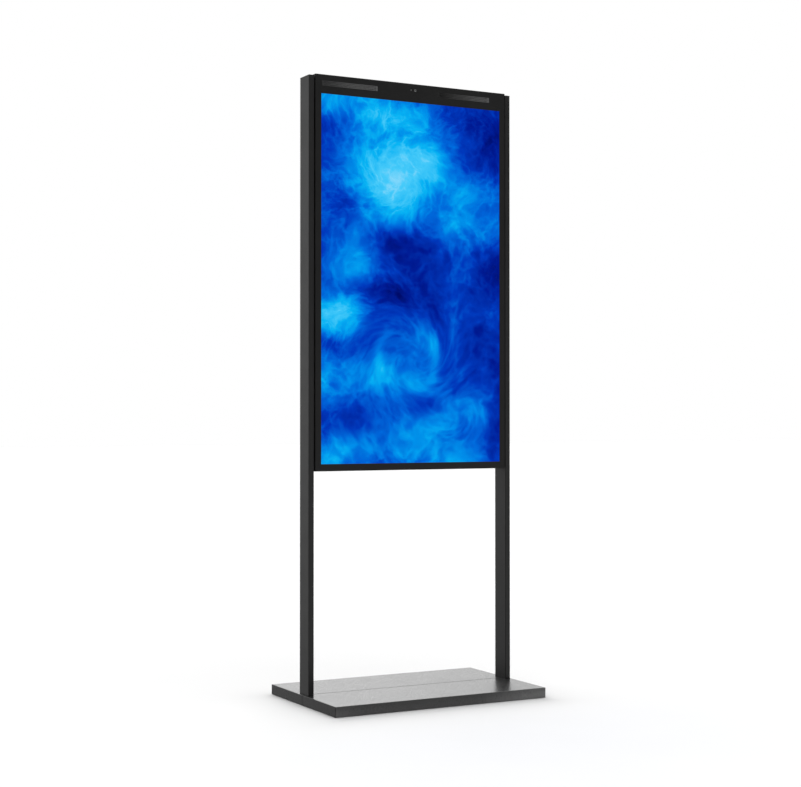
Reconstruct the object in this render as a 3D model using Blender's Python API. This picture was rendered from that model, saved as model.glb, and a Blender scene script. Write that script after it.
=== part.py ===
"""A free-standing portrait touchscreen kiosk: a slim display between two uprights, on a low steel base.

Metres, +Z up. The screen faces -Y and +X is on the right of someone looking at it. The origin is on the
floor, under the middle of the base.
"""

import math

import bmesh
import bpy
from mathutils import Matrix, Vector

# Driving dimensions: the screen and the border round it
SCREEN_WIDTH = 0.6804  # active area of a 55-inch 16:9 panel, stood on its short side
SCREEN_HEIGHT = 1.2096
SCREEN_BOTTOM = 0.7851
BORDER_SIDE = 0.0216
BORDER_BOTTOM = 0.0234
BORDER_TOP = 0.0623
DISPLAY_FRONT = -0.0370
HOUSING_BACK = 0.0340
FRAME_DEPTH = 0.0170
SHEET = 0.0015  # steel sheet of the display

# Uprights
SIDE_GAP = 0.0030  # between the display and each upright
UPRIGHT_WIDTH = 0.0190
UPRIGHT_DEPTH = 0.0684
UPRIGHT_WALL = 0.0025
UPRIGHT_BELOW_DISPLAY_TOP = 0.0047
CAP_THICKNESS = 0.0020
CAP_PLUG_DEPTH = 0.0100

# Base
BASE_WIDTH = 0.7810
BASE_DEPTH = 0.4940
BASE_HEIGHT = 0.0344
BASE_SHEET = 0.0020
BASE_PLATE_THICKNESS = 0.0100
BASE_SEAM = 0.0010  # between the two halves of the cover
PAD_RADIUS = 0.0200
PAD_THICKNESS = 0.0030
PAD_PROUD = 0.0015
PAD_MIDDLE = (0.3400, 0.2000)

# Feet of the uprights
FLANGE_THICKNESS = 0.0060
FLANGE_REACH = 0.0500
FLANGE_WIDTH = 0.0640
SPIGOT_DEPTH = 0.0400
SPIGOT_TOP = 0.1000
FOOT_BOLT_RADIUS = 0.0050
FOOT_BOLT_HEAD = (0.0095, 0.0064)  # radius over the corners, height
FOOT_BOLT_INSET = 0.0280
FOOT_BOLT_SPREAD = 0.0180

# Brackets and bolts in the side gaps
BRACKET_HEIGHTS = {"upper": 1.9300, "lower": 0.8300}
BRACKET_LENGTH = 0.0900
BRACKET_SPAN = (-0.0160, 0.0200)
SIDE_BOLT_RADIUS = 0.0040
SIDE_BOLT_HEAD = (0.0075, 0.0050)

# The cable's way up: it enters the left upright inside the base and leaves it behind the display
CABLE_ENTRY = (0.0260, 0.0262, 0.0042)  # y, z and radius
CABLE_EXIT = (0.0060, 0.9200, 0.0080)

# Gaps
CLEARANCE = 0.0003  # between pieces that touch
FINE_CLEARANCE = 0.0001  # between a pin and its hole
OVERRUN = 0.0100  # how far a cutter passes a face that it cuts through
OVERLAP = 0.0010  # how far joined shapes run into each other

# Speakers, camera and sensor in the top border
GRILLE_LENGTH = 0.2030
GRILLE_HEIGHT = 0.0160
GRILLE_DROP = 0.0285  # from the display's top to the middle of a grille
GRILLE_MIDDLE_X = {"left": -0.2355, "right": 0.1965}
GRILLE_COLUMNS = 20
GRILLE_ROWS = 3
GRILLE_HOLE = (0.0070, 0.0028)
SPEAKER_SIZE = (0.2000, 0.0280, 0.0360)
SPEAKER_MOUTH = (0.1880, 0.0060, 0.0140)
LENS_DROP = 0.0214
CAMERA_X = 0.0088
CAMERA_RADIUS = 0.0040
SENSOR_X = -0.0069
SENSOR_RADIUS = 0.0030
LENS_RECESS = 0.0003

# Layers of the display behind the front sheet
GLASS_THICKNESS = 0.0030
GLASS_MARGIN = 0.0080  # past the active area on every side
PANEL_THICKNESS = 0.0180
PANEL_MARGIN = 0.0115

# Electronics on the mounting plate: span along X, span along Z, depth
MEDIA_PLAYER = ((-0.0950, 0.0950), (1.0200, 1.2000), 0.0340)
POWER_SUPPLY = ((0.1250, 0.2150), (0.9600, 1.1600), 0.0300)
DISPLAY_BOARD = ((-0.2250, -0.1200), (1.0200, 1.1800), 0.0060)
HEAT_SINK = ((-0.2050, -0.1650), (1.0950, 1.1350), 0.0200)
BOARD_CONNECTORS = ((-0.2150, -0.1300), (1.0250, 1.0420), 0.0160)
TOUCH_CONTROLLER = ((-0.2000, -0.1100), (0.8850, 0.9300), 0.0050)
RIBBON_SOCKET = ((-0.1900, -0.1200), (0.8900, 0.8980), 0.0100)
PLAYER_FINS = 15
PLAYER_FIN_DEPTH = 0.0060
SUPPLY_VENTS = 10
SUPPLY_VENT_DEPTH = 0.0030
CABLE_SLOT = (0.1000, 0.0300)
CABLE_SLOT_MIDDLES = (-0.1500, 0.1500)
CABLE_SLOT_Z = 1.2550

# Cooling: fans behind vents near the top, intake slots in the floor of the housing
FAN_SIZE = 0.0800
FAN_DEPTH = 0.0250
FAN_X = {"left": -0.1100, "right": 0.1100}
FAN_Z = 1.8800
FAN_BORE_RADIUS = 0.0380
FAN_BLADE_RADIUS = 0.0365
FAN_HUB_RADIUS = 0.0160
FAN_BLADES = 7
FAN_SWEEP = math.radians(30)
FAN_ARM = (0.0040, 0.0030)
VENT_ROWS = 9
VENT_SLOT = (0.0680, 0.0040)
VENT_PITCH = 0.0080
INTAKE_COLUMNS = 12
INTAKE_SLOT = (0.0320, 0.0040)
INTAKE_PITCH = 0.0450
INTAKE_ROWS_Y = (0.0060, 0.0160)

# Service door in the back
OPENING_HALF = 0.2500
OPENING = (0.8600, 1.4600)
DOOR_LAP = 0.0120
DOOR_RIM_GAP = 0.0035
DOOR_RIM_DEPTH = 0.0030
HINGE_OFFSET = 0.0040  # from the door's edge to the pin
HINGE_Y = 0.0385
HINGE_HEIGHTS = {"upper": 1.3600, "lower": 0.9600}
HINGE_LENGTH = 0.0600
HINGE_LEAF = 0.0300
KNUCKLE_LENGTH = 0.0200
KNUCKLE_RADIUS = 0.0040
HINGE_PIN_RADIUS = 0.0019
LOCK_X = 0.2280
LOCK_HEIGHTS = {"upper": 1.3400, "lower": 0.9800}
LOCK_RADIUS = 0.0077
LOCK_FRONT = 0.0300
LOCK_FLANGE = (0.0110, 0.0024)
LOCK_PLUG_RADIUS = 0.0045
CAM_SPAN = (0.0275, 0.0297)
CAM_WIDTH = 0.0140
CAM_REACH = 0.0340
KEYWAY = (0.0010, 0.0060)

# Mains inlet and power switch in the base's rear edge
SOCKET_Z = 0.0180
SOCKET_BAY = (0.1200, 0.0400)
INLET_X = -0.0200
INLET_SIZE = (0.0276, 0.0240, 0.0200)
INLET_FLANGE = (0.0340, 0.0020, 0.0250)
INLET_CAVITY = (0.0242, 0.0160, 0.0164)
INLET_BLADE = (0.0020, 0.0150, 0.0040)
INLET_BLADE_PLACES = ((-0.0070, -0.0020), (0.0070, -0.0020), (0.0, 0.0020))
SWITCH_X = 0.0260
SWITCH_SIZE = (0.0190, 0.0180, 0.0200)
SWITCH_WELL = (0.0152, 0.0078, 0.0164)
ROCKER_PIVOT_DEPTH = 0.0045
ROCKER_HALF = 0.0066
ROCKER_HEIGHT = 0.0154
ROCKER_REST_ANGLE = math.radians(-8)

# Worked out from the dimensions above
DISPLAY_HALF = SCREEN_WIDTH / 2 + BORDER_SIDE
DISPLAY_BOTTOM = SCREEN_BOTTOM - BORDER_BOTTOM
SCREEN_TOP = SCREEN_BOTTOM + SCREEN_HEIGHT
DISPLAY_TOP = SCREEN_TOP + BORDER_TOP
FRAME_BACK = DISPLAY_FRONT + FRAME_DEPTH
FRONT_SHEET_BACK = DISPLAY_FRONT + SHEET
HOUSING_FRONT = FRAME_BACK + CLEARANCE
HOUSING_INNER_BACK = HOUSING_BACK - SHEET
GLASS_FRONT = FRONT_SHEET_BACK + CLEARANCE
PANEL_FRONT = GLASS_FRONT + GLASS_THICKNESS + CLEARANCE
MOUNTING_FRONT = PANEL_FRONT + PANEL_THICKNESS + CLEARANCE
MOUNTING_BACK = MOUNTING_FRONT + SHEET
ELECTRONICS_FRONT = MOUNTING_BACK + CLEARANCE
UPRIGHT_INNER = DISPLAY_HALF + SIDE_GAP
UPRIGHT_OUTER = UPRIGHT_INNER + UPRIGHT_WIDTH
UPRIGHT_MIDDLE = (UPRIGHT_INNER + UPRIGHT_OUTER) / 2
UPRIGHT_TOP = DISPLAY_TOP - UPRIGHT_BELOW_DISPLAY_TOP
BASE_PLATE_TOP = PAD_PROUD + BASE_PLATE_THICKNESS
FLANGE_BOTTOM = BASE_PLATE_TOP + CLEARANCE
FLANGE_TOP = FLANGE_BOTTOM + FLANGE_THICKNESS
GRILLE_Z = DISPLAY_TOP - GRILLE_DROP
LENS_Z = DISPLAY_TOP - LENS_DROP
FAN_BACK = HOUSING_INNER_BACK - CLEARANCE
FAN_FRONT = FAN_BACK - FAN_DEPTH
DOOR_FRONT = HOUSING_BACK + CLEARANCE
DOOR_BACK = DOOR_FRONT + SHEET
HINGE_X = -(OPENING_HALF + DOOR_LAP + HINGE_OFFSET)
REAR_EDGE = BASE_DEPTH / 2
INLET_BACK = REAR_EDGE - 0.0005
SWITCH_BACK = REAR_EDGE - CLEARANCE
ROCKER_PIVOT_Y = REAR_EDGE - ROCKER_PIVOT_DEPTH

SIDES = (("left", -1), ("right", 1))
AXES = {"X": Vector((1, 0, 0)), "Y": Vector((0, 1, 0)), "Z": Vector((0, 0, 1))}


# Tools

def clear_scene():
    for item in list(bpy.data.objects):
        bpy.data.objects.remove(item, do_unlink=True)


def material(name, colour, roughness, metallic=0.0):
    made = bpy.data.materials.new(name)
    made.use_nodes = True
    shader = made.node_tree.nodes["Principled BSDF"]
    shader.inputs["Base Color"].default_value = (*colour, 1.0)
    shader.inputs["Roughness"].default_value = roughness
    shader.inputs["Metallic"].default_value = metallic
    made.diffuse_color = (*colour, 1.0)
    return made


def around(middle, size):
    return (middle - size / 2, middle + size / 2)


def outwards(sign, near, far):
    """The span from near to far on one side of the centre plane: sign is -1 or 1."""
    return (sign * near, sign * far)


def add_object(name, bm):
    """Turns a bmesh into an object, with its faces pointing out."""
    bmesh.ops.recalc_face_normals(bm, faces=bm.faces)
    mesh = bpy.data.meshes.new(name)
    bm.to_mesh(mesh)
    bm.free()
    made = bpy.data.objects.new(name, mesh)
    bpy.context.scene.collection.objects.link(made)
    return made


def boxes(name, spans):
    """One object of separate boxes, each given by its spans along X, Y and Z."""
    bm = bmesh.new()
    for span in spans:
        middle = Vector(sum(ends) / 2 for ends in span)
        size = [abs(ends[1] - ends[0]) for ends in span]
        place = Matrix.Translation(middle) @ Matrix.Diagonal((*size, 1.0))
        bmesh.ops.create_cube(bm, size=1.0, matrix=place)
    return add_object(name, bm)


def box(name, x, y, z):
    return boxes(name, [(x, y, z)])


def prism(name, outline, span, axis="Z"):
    """An outline given in the plane across the axis, drawn out along the span on the axis."""
    low, high = sorted(span)
    place = {
        "X": lambda a, b: (low, a, b),
        "Y": lambda a, b: (a, low, b),
        "Z": lambda a, b: (a, b, low),
    }[axis]
    bm = bmesh.new()
    face = bm.faces.new([bm.verts.new(place(a, b)) for a, b in outline])
    extruded = bmesh.ops.extrude_face_region(bm, geom=[face])["geom"]
    moved = [part for part in extruded if isinstance(part, bmesh.types.BMVert)]
    bmesh.ops.translate(bm, verts=moved, vec=AXES[axis] * (high - low))
    return add_object(name, bm)


def cylinder(name, middle, radius, span, axis="Z", sides=24):
    turns = [2 * math.pi * (step + 0.5) / sides for step in range(sides)]
    outline = [(middle[0] + radius * math.cos(t), middle[1] + radius * math.sin(t)) for t in turns]
    made = prism(name, outline, span, axis)
    made.data.shade_smooth()
    made.data.set_sharp_from_angle(angle=math.radians(40))
    return made


def combine(target, others, operation):
    for other in others:
        other.hide_render = True
        other.display_type = "WIRE"
        other.parent = target
        step = target.modifiers.new(other.name, "BOOLEAN")
        step.operation = operation
        step.object = other
    return target


def join(target, *others):
    return combine(target, others, "UNION")


def cut(target, *cutters):
    return combine(target, cutters, "DIFFERENCE")


def finish(made, surface):
    made.data.materials.append(surface)
    return made


def on_axis(name, place, pieces):
    """Parents pieces to an empty that stands on their joint's axis."""
    pivot = bpy.data.objects.new(name, None)
    bpy.context.scene.collection.objects.link(pivot)
    pivot.location = place
    for piece in pieces:
        piece.parent = pivot
        piece.matrix_parent_inverse = Matrix.Translation(place).inverted()


# Base

def pad_places():
    return [(x, y) for x in (-PAD_MIDDLE[0], PAD_MIDDLE[0]) for y in (-PAD_MIDDLE[1], PAD_MIDDLE[1])]


def foot_bolt_places(sign):
    x = sign * (UPRIGHT_INNER - FOOT_BOLT_INSET)
    return {"front": (x, -FOOT_BOLT_SPREAD), "rear": (x, FOOT_BOLT_SPREAD)}


def base_plate(steel):
    """The thick plate that carries the uprights, with seats for the pads and a bay for the sockets."""
    margin = BASE_SHEET + CLEARANCE
    width = BASE_WIDTH - 2 * margin
    depth = BASE_DEPTH - 2 * margin
    plate = box("base_plate", around(0, width), around(0, depth), (PAD_PROUD, BASE_PLATE_TOP))
    through = (PAD_PROUD - OVERRUN, BASE_PLATE_TOP + OVERRUN)
    bay = (depth / 2 - SOCKET_BAY[1], depth / 2 + OVERRUN)
    cut(plate, box("cut_socket_bay", around(0, SOCKET_BAY[0]), bay, through))
    seat = (-OVERRUN, PAD_THICKNESS + CLEARANCE)
    for place in pad_places():
        cut(plate, cylinder("cut_pad_seat", place, PAD_RADIUS + CLEARANCE, seat))
    for side, sign in SIDES:
        for place in foot_bolt_places(sign).values():
            cut(plate, cylinder("cut_tapped_hole", place, FOOT_BOLT_RADIUS + CLEARANCE, through, sides=16))
    finish(plate, steel)


def base_pads(rubber):
    for number, place in enumerate(pad_places(), 1):
        finish(cylinder(f"base_pad_{number}", place, PAD_RADIUS, (0.0, PAD_THICKNESS)), rubber)


def base_cover(end, sign, coat):
    """Half of the base's folded shell, open below, notched to pass round half of each upright."""
    edge = BASE_DEPTH / 2
    shell = outwards(sign, BASE_SEAM / 2, edge)
    cover = box(f"base_cover_{end}", around(0, BASE_WIDTH), shell, (PAD_PROUD, BASE_HEIGHT))
    inner_width = BASE_WIDTH - 2 * BASE_SHEET
    inner_height = BASE_HEIGHT - BASE_SHEET
    inner = outwards(sign, -OVERRUN, edge - BASE_SHEET)
    cut(cover, box("cut_inside", around(0, inner_width), inner, (-OVERRUN, inner_height)))
    notch_width = UPRIGHT_WIDTH + 2 * CLEARANCE
    notch = outwards(sign, -OVERRUN, UPRIGHT_DEPTH / 2 + CLEARANCE)
    notch_rise = (inner_height - OVERRUN, BASE_HEIGHT + OVERRUN)
    notches = [(around(side * UPRIGHT_MIDDLE, notch_width), notch, notch_rise) for _, side in SIDES]
    cut(cover, boxes("cut_upright_notches", notches))
    return finish(cover, coat)


def socket_cutter():
    """The notches in the rear edge, open below, so that the cover lifts off over the inlet and the switch."""
    through = around(REAR_EDGE, 2 * OVERRUN)
    notches = []
    for x, size in ((INLET_X, INLET_SIZE), (SWITCH_X, SWITCH_SIZE)):
        wide = around(x, size[0] + 2 * CLEARANCE)
        notches.append((wide, through, (PAD_PROUD - OVERRUN, SOCKET_Z + size[2] / 2 + CLEARANCE)))
    return boxes("cut_sockets", notches)


def mains_inlet(plastic):
    """A three-blade appliance inlet, let into the rear edge, with its flange behind the sheet."""
    width, depth, height = INLET_SIZE
    body = (INLET_BACK - depth, INLET_BACK)
    inlet = box("mains_inlet", around(INLET_X, width), body, around(SOCKET_Z, height))
    flange_back = REAR_EDGE - BASE_SHEET - CLEARANCE
    flange = (flange_back - INLET_FLANGE[1], flange_back)
    flange_tall = around(SOCKET_Z, INLET_FLANGE[2])
    join(inlet, box("add_flange", around(INLET_X, INLET_FLANGE[0]), flange, flange_tall))
    cavity = (INLET_BACK - INLET_CAVITY[1], INLET_BACK + OVERRUN)
    cavity_tall = around(SOCKET_Z, INLET_CAVITY[2])
    cut(inlet, box("cut_cavity", around(INLET_X, INLET_CAVITY[0]), cavity, cavity_tall))
    root = INLET_BACK - INLET_CAVITY[1] - 2 * OVERLAP
    for x, z in INLET_BLADE_PLACES:
        wide = around(INLET_X + x, INLET_BLADE[0])
        tall = around(SOCKET_Z + z, INLET_BLADE[2])
        join(inlet, box("add_blade", wide, (root, root + INLET_BLADE[1]), tall))
    finish(inlet, plastic)


def power_switch(plastic, rocker_plastic):
    """A rocker switch beside the inlet: the body with its well, and the rocker that tilts in it."""
    width, depth, height = SWITCH_SIZE
    span = (SWITCH_BACK - depth, SWITCH_BACK)
    body = box("power_switch_body", around(SWITCH_X, width), span, around(SOCKET_Z, height))
    well_span = (SWITCH_BACK - SWITCH_WELL[1], SWITCH_BACK + OVERRUN)
    well_tall = around(SOCKET_Z, SWITCH_WELL[2])
    well = box("cut_rocker_well", around(SWITCH_X, SWITCH_WELL[0]), well_span, well_tall)
    finish(cut(body, well), plastic)

    half = ROCKER_HALF
    right_half = [(0.45 * half, -0.0025), (half, -0.0005), (half, 0.0030)]
    left_half = [(-x, y) for x, y in reversed(right_half)]
    profile = [*right_half, (0.0, 0.0018), *left_half]
    tilt = Matrix.Rotation(ROCKER_REST_ANGLE, 2)
    pivot = Vector((SWITCH_X, ROCKER_PIVOT_Y))
    outline = [tuple(pivot + tilt @ Vector(point)) for point in profile]
    rocker = finish(prism("power_rocker", outline, around(SOCKET_Z, ROCKER_HEIGHT)), rocker_plastic)
    on_axis("power_rocker_axis", (*pivot, SOCKET_Z), [rocker])


# Uprights and their feet

def foot_bracket(side, sign, steel):
    """A flange bolted to the base plate, with a spigot that stands up inside the upright."""
    reach = outwards(sign, UPRIGHT_INNER - FLANGE_REACH, UPRIGHT_OUTER)
    bracket = box(f"foot_bracket_{side}", reach, around(0, FLANGE_WIDTH), (FLANGE_BOTTOM, FLANGE_TOP))
    spigot_width = UPRIGHT_WIDTH - 2 * (UPRIGHT_WALL + CLEARANCE)
    across = around(sign * UPRIGHT_MIDDLE, spigot_width)
    join(bracket, box("add_spigot", across, around(0, SPIGOT_DEPTH), (FLANGE_TOP - OVERLAP, SPIGOT_TOP)))
    through = (FLANGE_BOTTOM - OVERRUN, FLANGE_TOP + OVERRUN)
    for place in foot_bolt_places(sign).values():
        cut(bracket, cylinder("cut_bolt_hole", place, FOOT_BOLT_RADIUS + CLEARANCE, through, sides=16))
    finish(bracket, steel)


def foot_bolts(side, sign, zinc):
    head_radius, head_height = FOOT_BOLT_HEAD
    seat = FLANGE_TOP + CLEARANCE
    tip = PAD_PROUD + 2 * OVERLAP
    for end, place in foot_bolt_places(sign).items():
        bolt = cylinder(f"foot_bolt_{side}_{end}", place, head_radius, (seat, seat + head_height), sides=6)
        shank = cylinder("add_shank", place, FOOT_BOLT_RADIUS, (tip, seat + OVERLAP), sides=16)
        finish(join(bolt, shank), zinc)


def upright(side, sign, coat):
    """A rectangular steel tube from the foot bracket to just under the display's top."""
    bottom = FLANGE_TOP + CLEARANCE
    top = UPRIGHT_TOP - CAP_THICKNESS - CLEARANCE
    across = outwards(sign, UPRIGHT_INNER, UPRIGHT_OUTER)
    tube = box(f"upright_{side}", across, around(0, UPRIGHT_DEPTH), (bottom, top))
    bore_across = around(sign * UPRIGHT_MIDDLE, UPRIGHT_WIDTH - 2 * UPRIGHT_WALL)
    bore_deep = around(0, UPRIGHT_DEPTH - 2 * UPRIGHT_WALL)
    cut(tube, box("cut_bore", bore_across, bore_deep, (bottom - OVERRUN, top + OVERRUN)))
    wall = outwards(sign, UPRIGHT_INNER - OVERRUN, UPRIGHT_MIDDLE)
    for z in BRACKET_HEIGHTS.values():
        cut(tube, side_hole(z, wall))
    if side == "left":
        cut(tube, cable_hole(CABLE_ENTRY, wall), cable_hole(CABLE_EXIT, wall))
    finish(tube, coat)


def cable_hole(place, span):
    y, z, radius = place
    return cylinder("cut_cable_hole", (y, z), radius, span, "X", sides=16)


def upright_cap(side, sign, coat):
    """A plate over the tube's open top, with a plug that fits inside it."""
    bottom = UPRIGHT_TOP - CAP_THICKNESS
    across = outwards(sign, UPRIGHT_INNER, UPRIGHT_OUTER)
    cap = box(f"upright_cap_{side}", across, around(0, UPRIGHT_DEPTH), (bottom, UPRIGHT_TOP))
    inset = 2 * (UPRIGHT_WALL + CLEARANCE)
    plug_across = around(sign * UPRIGHT_MIDDLE, UPRIGHT_WIDTH - inset)
    plug_deep = around(0, UPRIGHT_DEPTH - inset)
    join(cap, box("add_plug", plug_across, plug_deep, (bottom - CAP_PLUG_DEPTH, bottom + OVERLAP)))
    finish(cap, coat)


# Brackets that hold the display between the uprights

def side_hole(z, span):
    return cylinder("cut_side_hole", (0.0, z), SIDE_BOLT_RADIUS + CLEARANCE, span, "X", sides=16)


def side_bracket(side, sign, level, z, steel):
    inner = DISPLAY_HALF + CLEARANCE
    outer = UPRIGHT_INNER - CLEARANCE
    across = outwards(sign, inner, outer)
    plate = box(f"side_bracket_{side}_{level}", across, BRACKET_SPAN, around(z, BRACKET_LENGTH))
    finish(cut(plate, side_hole(z, outwards(sign, inner - OVERRUN, outer + OVERRUN))), steel)


def side_bolt(side, sign, level, z, zinc):
    head_radius, head_height = SIDE_BOLT_HEAD
    seat = DISPLAY_HALF - SHEET - CLEARANCE
    tip = UPRIGHT_INNER + UPRIGHT_WALL + 3 * OVERLAP
    middle = (0.0, z)
    head = outwards(sign, seat - head_height, seat)
    bolt = cylinder(f"side_bolt_{side}_{level}", middle, head_radius, head, "X", sides=6)
    shank = outwards(sign, seat - OVERLAP, tip)
    finish(join(bolt, cylinder("add_shank", middle, SIDE_BOLT_RADIUS, shank, "X", sides=16)), zinc)


# Display

def front_frame(coat):
    """The folded front: a border round the screen with a skirt, slots for the grilles, two lens holes."""
    tall = (DISPLAY_BOTTOM, DISPLAY_TOP)
    frame = box("front_frame", around(0, 2 * DISPLAY_HALF), (DISPLAY_FRONT, FRAME_BACK), tall)
    inner_width = 2 * (DISPLAY_HALF - SHEET)
    inner_deep = (FRONT_SHEET_BACK, FRAME_BACK + OVERRUN)
    inner_tall = (DISPLAY_BOTTOM + SHEET, DISPLAY_TOP - SHEET)
    cut(frame, box("cut_inside", around(0, inner_width), inner_deep, inner_tall))
    through = around(DISPLAY_FRONT, 2 * OVERRUN)
    openings = [(around(0, SCREEN_WIDTH), through, (SCREEN_BOTTOM, SCREEN_TOP))]
    for x in GRILLE_MIDDLE_X.values():
        length = around(x, GRILLE_LENGTH + 2 * CLEARANCE)
        openings.append((length, through, around(GRILLE_Z, GRILLE_HEIGHT + 2 * CLEARANCE)))
    cut(frame, boxes("cut_openings", openings))
    for x, radius in ((CAMERA_X, CAMERA_RADIUS), (SENSOR_X, SENSOR_RADIUS)):
        cut(frame, cylinder("cut_lens_hole", (x, LENS_Z), radius, through, "Y", sides=20))
    finish(frame, coat)


def layer(name, margin, front, thickness, surface):
    """A slab over the screen's active area and a margin round it."""
    width = around(0, SCREEN_WIDTH + 2 * margin)
    tall = (SCREEN_BOTTOM - margin, SCREEN_TOP + margin)
    finish(box(name, width, (front, front + thickness), tall), surface)


def mounting_plate(steel):
    """The plate behind the panel that carries the electronics, with two slots for cables."""
    width = around(0, SCREEN_WIDTH + 2 * PANEL_MARGIN)
    tall = (DISPLAY_BOTTOM + 2 * SHEET, SCREEN_TOP + PANEL_MARGIN)
    plate = box("mounting_plate", width, (MOUNTING_FRONT, MOUNTING_BACK), tall)
    through = (MOUNTING_FRONT - OVERRUN, MOUNTING_BACK + OVERRUN)
    slot_tall = around(CABLE_SLOT_Z, CABLE_SLOT[1])
    slots = [(around(x, CABLE_SLOT[0]), through, slot_tall) for x in CABLE_SLOT_MIDDLES]
    finish(cut(plate, boxes("cut_cable_slots", slots)), steel)


def vent_slots():
    """The fans' vents in the housing's back, and the intake slots in its floor."""
    slots = []
    through_back = (HOUSING_INNER_BACK - OVERLAP, HOUSING_BACK + OVERRUN)
    for x in FAN_X.values():
        for row in range(VENT_ROWS):
            z = FAN_Z + (row - (VENT_ROWS - 1) / 2) * VENT_PITCH
            slots.append((around(x, VENT_SLOT[0]), through_back, around(z, VENT_SLOT[1])))
    through_floor = around(DISPLAY_BOTTOM, 2 * (SHEET + OVERLAP))
    for column in range(INTAKE_COLUMNS):
        x = (column - (INTAKE_COLUMNS - 1) / 2) * INTAKE_PITCH
        for y in INTAKE_ROWS_Y:
            slots.append((around(x, INTAKE_SLOT[0]), around(y, INTAKE_SLOT[1]), through_floor))
    return boxes("cut_vents", slots)


def rear_housing(coat):
    """The folded rear tray, with the service opening and the vents."""
    tall = (DISPLAY_BOTTOM, DISPLAY_TOP)
    housing = box("rear_housing", around(0, 2 * DISPLAY_HALF), (HOUSING_FRONT, HOUSING_BACK), tall)
    inner_half = DISPLAY_HALF - SHEET
    inner_tall = (DISPLAY_BOTTOM + SHEET, DISPLAY_TOP - SHEET)
    inner_deep = (HOUSING_FRONT - OVERRUN, HOUSING_INNER_BACK)
    cut(housing, box("cut_inside", around(0, 2 * inner_half), inner_deep, inner_tall))
    through = (HOUSING_INNER_BACK - OVERLAP, HOUSING_BACK + OVERRUN)
    cut(housing, box("cut_service_opening", around(0, 2 * OPENING_HALF), through, OPENING))
    cut(housing, vent_slots())
    for _, sign in SIDES:
        wall = outwards(sign, inner_half - OVERRUN, DISPLAY_HALF + OVERLAP)
        for z in BRACKET_HEIGHTS.values():
            cut(housing, side_hole(z, wall))
    left_wall = outwards(-1, inner_half - OVERRUN, DISPLAY_HALF + OVERLAP)
    cut(housing, cable_hole(CABLE_EXIT, left_wall))
    finish(housing, coat)


def speaker_grille(side, coat):
    """A perforated strip, flush in its slot."""
    x = GRILLE_MIDDLE_X[side]
    span = (DISPLAY_FRONT, FRONT_SHEET_BACK)
    strip = box(f"speaker_grille_{side}", around(x, GRILLE_LENGTH), span, around(GRILLE_Z, GRILLE_HEIGHT))
    pitch_x = GRILLE_LENGTH / GRILLE_COLUMNS
    pitch_z = GRILLE_HEIGHT / GRILLE_ROWS
    through = around(DISPLAY_FRONT, 2 * OVERRUN)
    holes = []
    for column in range(GRILLE_COLUMNS):
        hole_x = x + (column - (GRILLE_COLUMNS - 1) / 2) * pitch_x
        for row in range(GRILLE_ROWS):
            hole_z = GRILLE_Z + (row - (GRILLE_ROWS - 1) / 2) * pitch_z
            holes.append((around(hole_x, GRILLE_HOLE[0]), through, around(hole_z, GRILLE_HOLE[1])))
    finish(cut(strip, boxes("cut_perforations", holes)), coat)


def speaker(side, plastic):
    """A slim loudspeaker box behind its grille, its sound opening facing forwards."""
    x = GRILLE_MIDDLE_X[side]
    front = FRONT_SHEET_BACK + CLEARANCE
    width, depth, height = SPEAKER_SIZE
    made = box(f"speaker_{side}", around(x, width), (front, front + depth), around(GRILLE_Z, height))
    mouth_width, mouth_depth, mouth_height = SPEAKER_MOUTH
    mouth = (front - OVERRUN, front + mouth_depth)
    cut(made, box("cut_mouth", around(x, mouth_width), mouth, around(GRILLE_Z, mouth_height)))
    finish(made, plastic)


def camera(board_green, lens_glass):
    """The camera board with its lens barrel, the window over it, and the light sensor beside it."""
    board_front = -0.0300
    board = (board_front, board_front + 0.0030)
    module = box("camera_module", (CAMERA_X - 0.010, CAMERA_X + 0.020), board, around(LENS_Z, 0.020))
    radius = CAMERA_RADIUS - CLEARANCE
    window = (DISPLAY_FRONT + LENS_RECESS, FRONT_SHEET_BACK + CLEARANCE)
    barrel = (window[1] + CLEARANCE, board_front + OVERLAP)
    join(module, cylinder("add_barrel", (CAMERA_X, LENS_Z), radius, barrel, "Y", sides=20))
    finish(module, board_green)
    finish(cylinder("camera_window", (CAMERA_X, LENS_Z), radius, window, "Y", sides=20), lens_glass)

    package = (board_front - 0.0040, board_front)
    dome = (DISPLAY_FRONT + LENS_RECESS, package[0] + OVERLAP)
    sensor = cylinder("light_sensor", (SENSOR_X, LENS_Z), SENSOR_RADIUS - CLEARANCE, dome, "Y", sides=16)
    join(sensor, box("add_package", around(SENSOR_X, 0.008), package, around(LENS_Z, 0.008)))
    finish(sensor, lens_glass)


# Electronics on the mounting plate

def on_plate(name, place, start=0.0):
    """A block on the mounting plate, or on a board of that thickness."""
    x, z, depth = place
    return box(name, x, (ELECTRONICS_FRONT + start, ELECTRONICS_FRONT + depth), z)


def media_player(case):
    """The computer: a flat case with cooling fins on its back."""
    x, z, depth = MEDIA_PLAYER
    pitch = (x[1] - x[0]) / (2 * PLAYER_FINS - 1)
    back = ELECTRONICS_FRONT + depth
    grooves = []
    for groove in range(PLAYER_FINS - 1):
        start = x[0] + (2 * groove + 1) * pitch
        wide = (start, start + pitch)
        grooves.append((wide, (back - PLAYER_FIN_DEPTH, back + OVERRUN), (z[0] + 0.01, z[1] - 0.01)))
    finish(cut(on_plate("media_player", MEDIA_PLAYER), boxes("cut_between_fins", grooves)), case)


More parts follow.
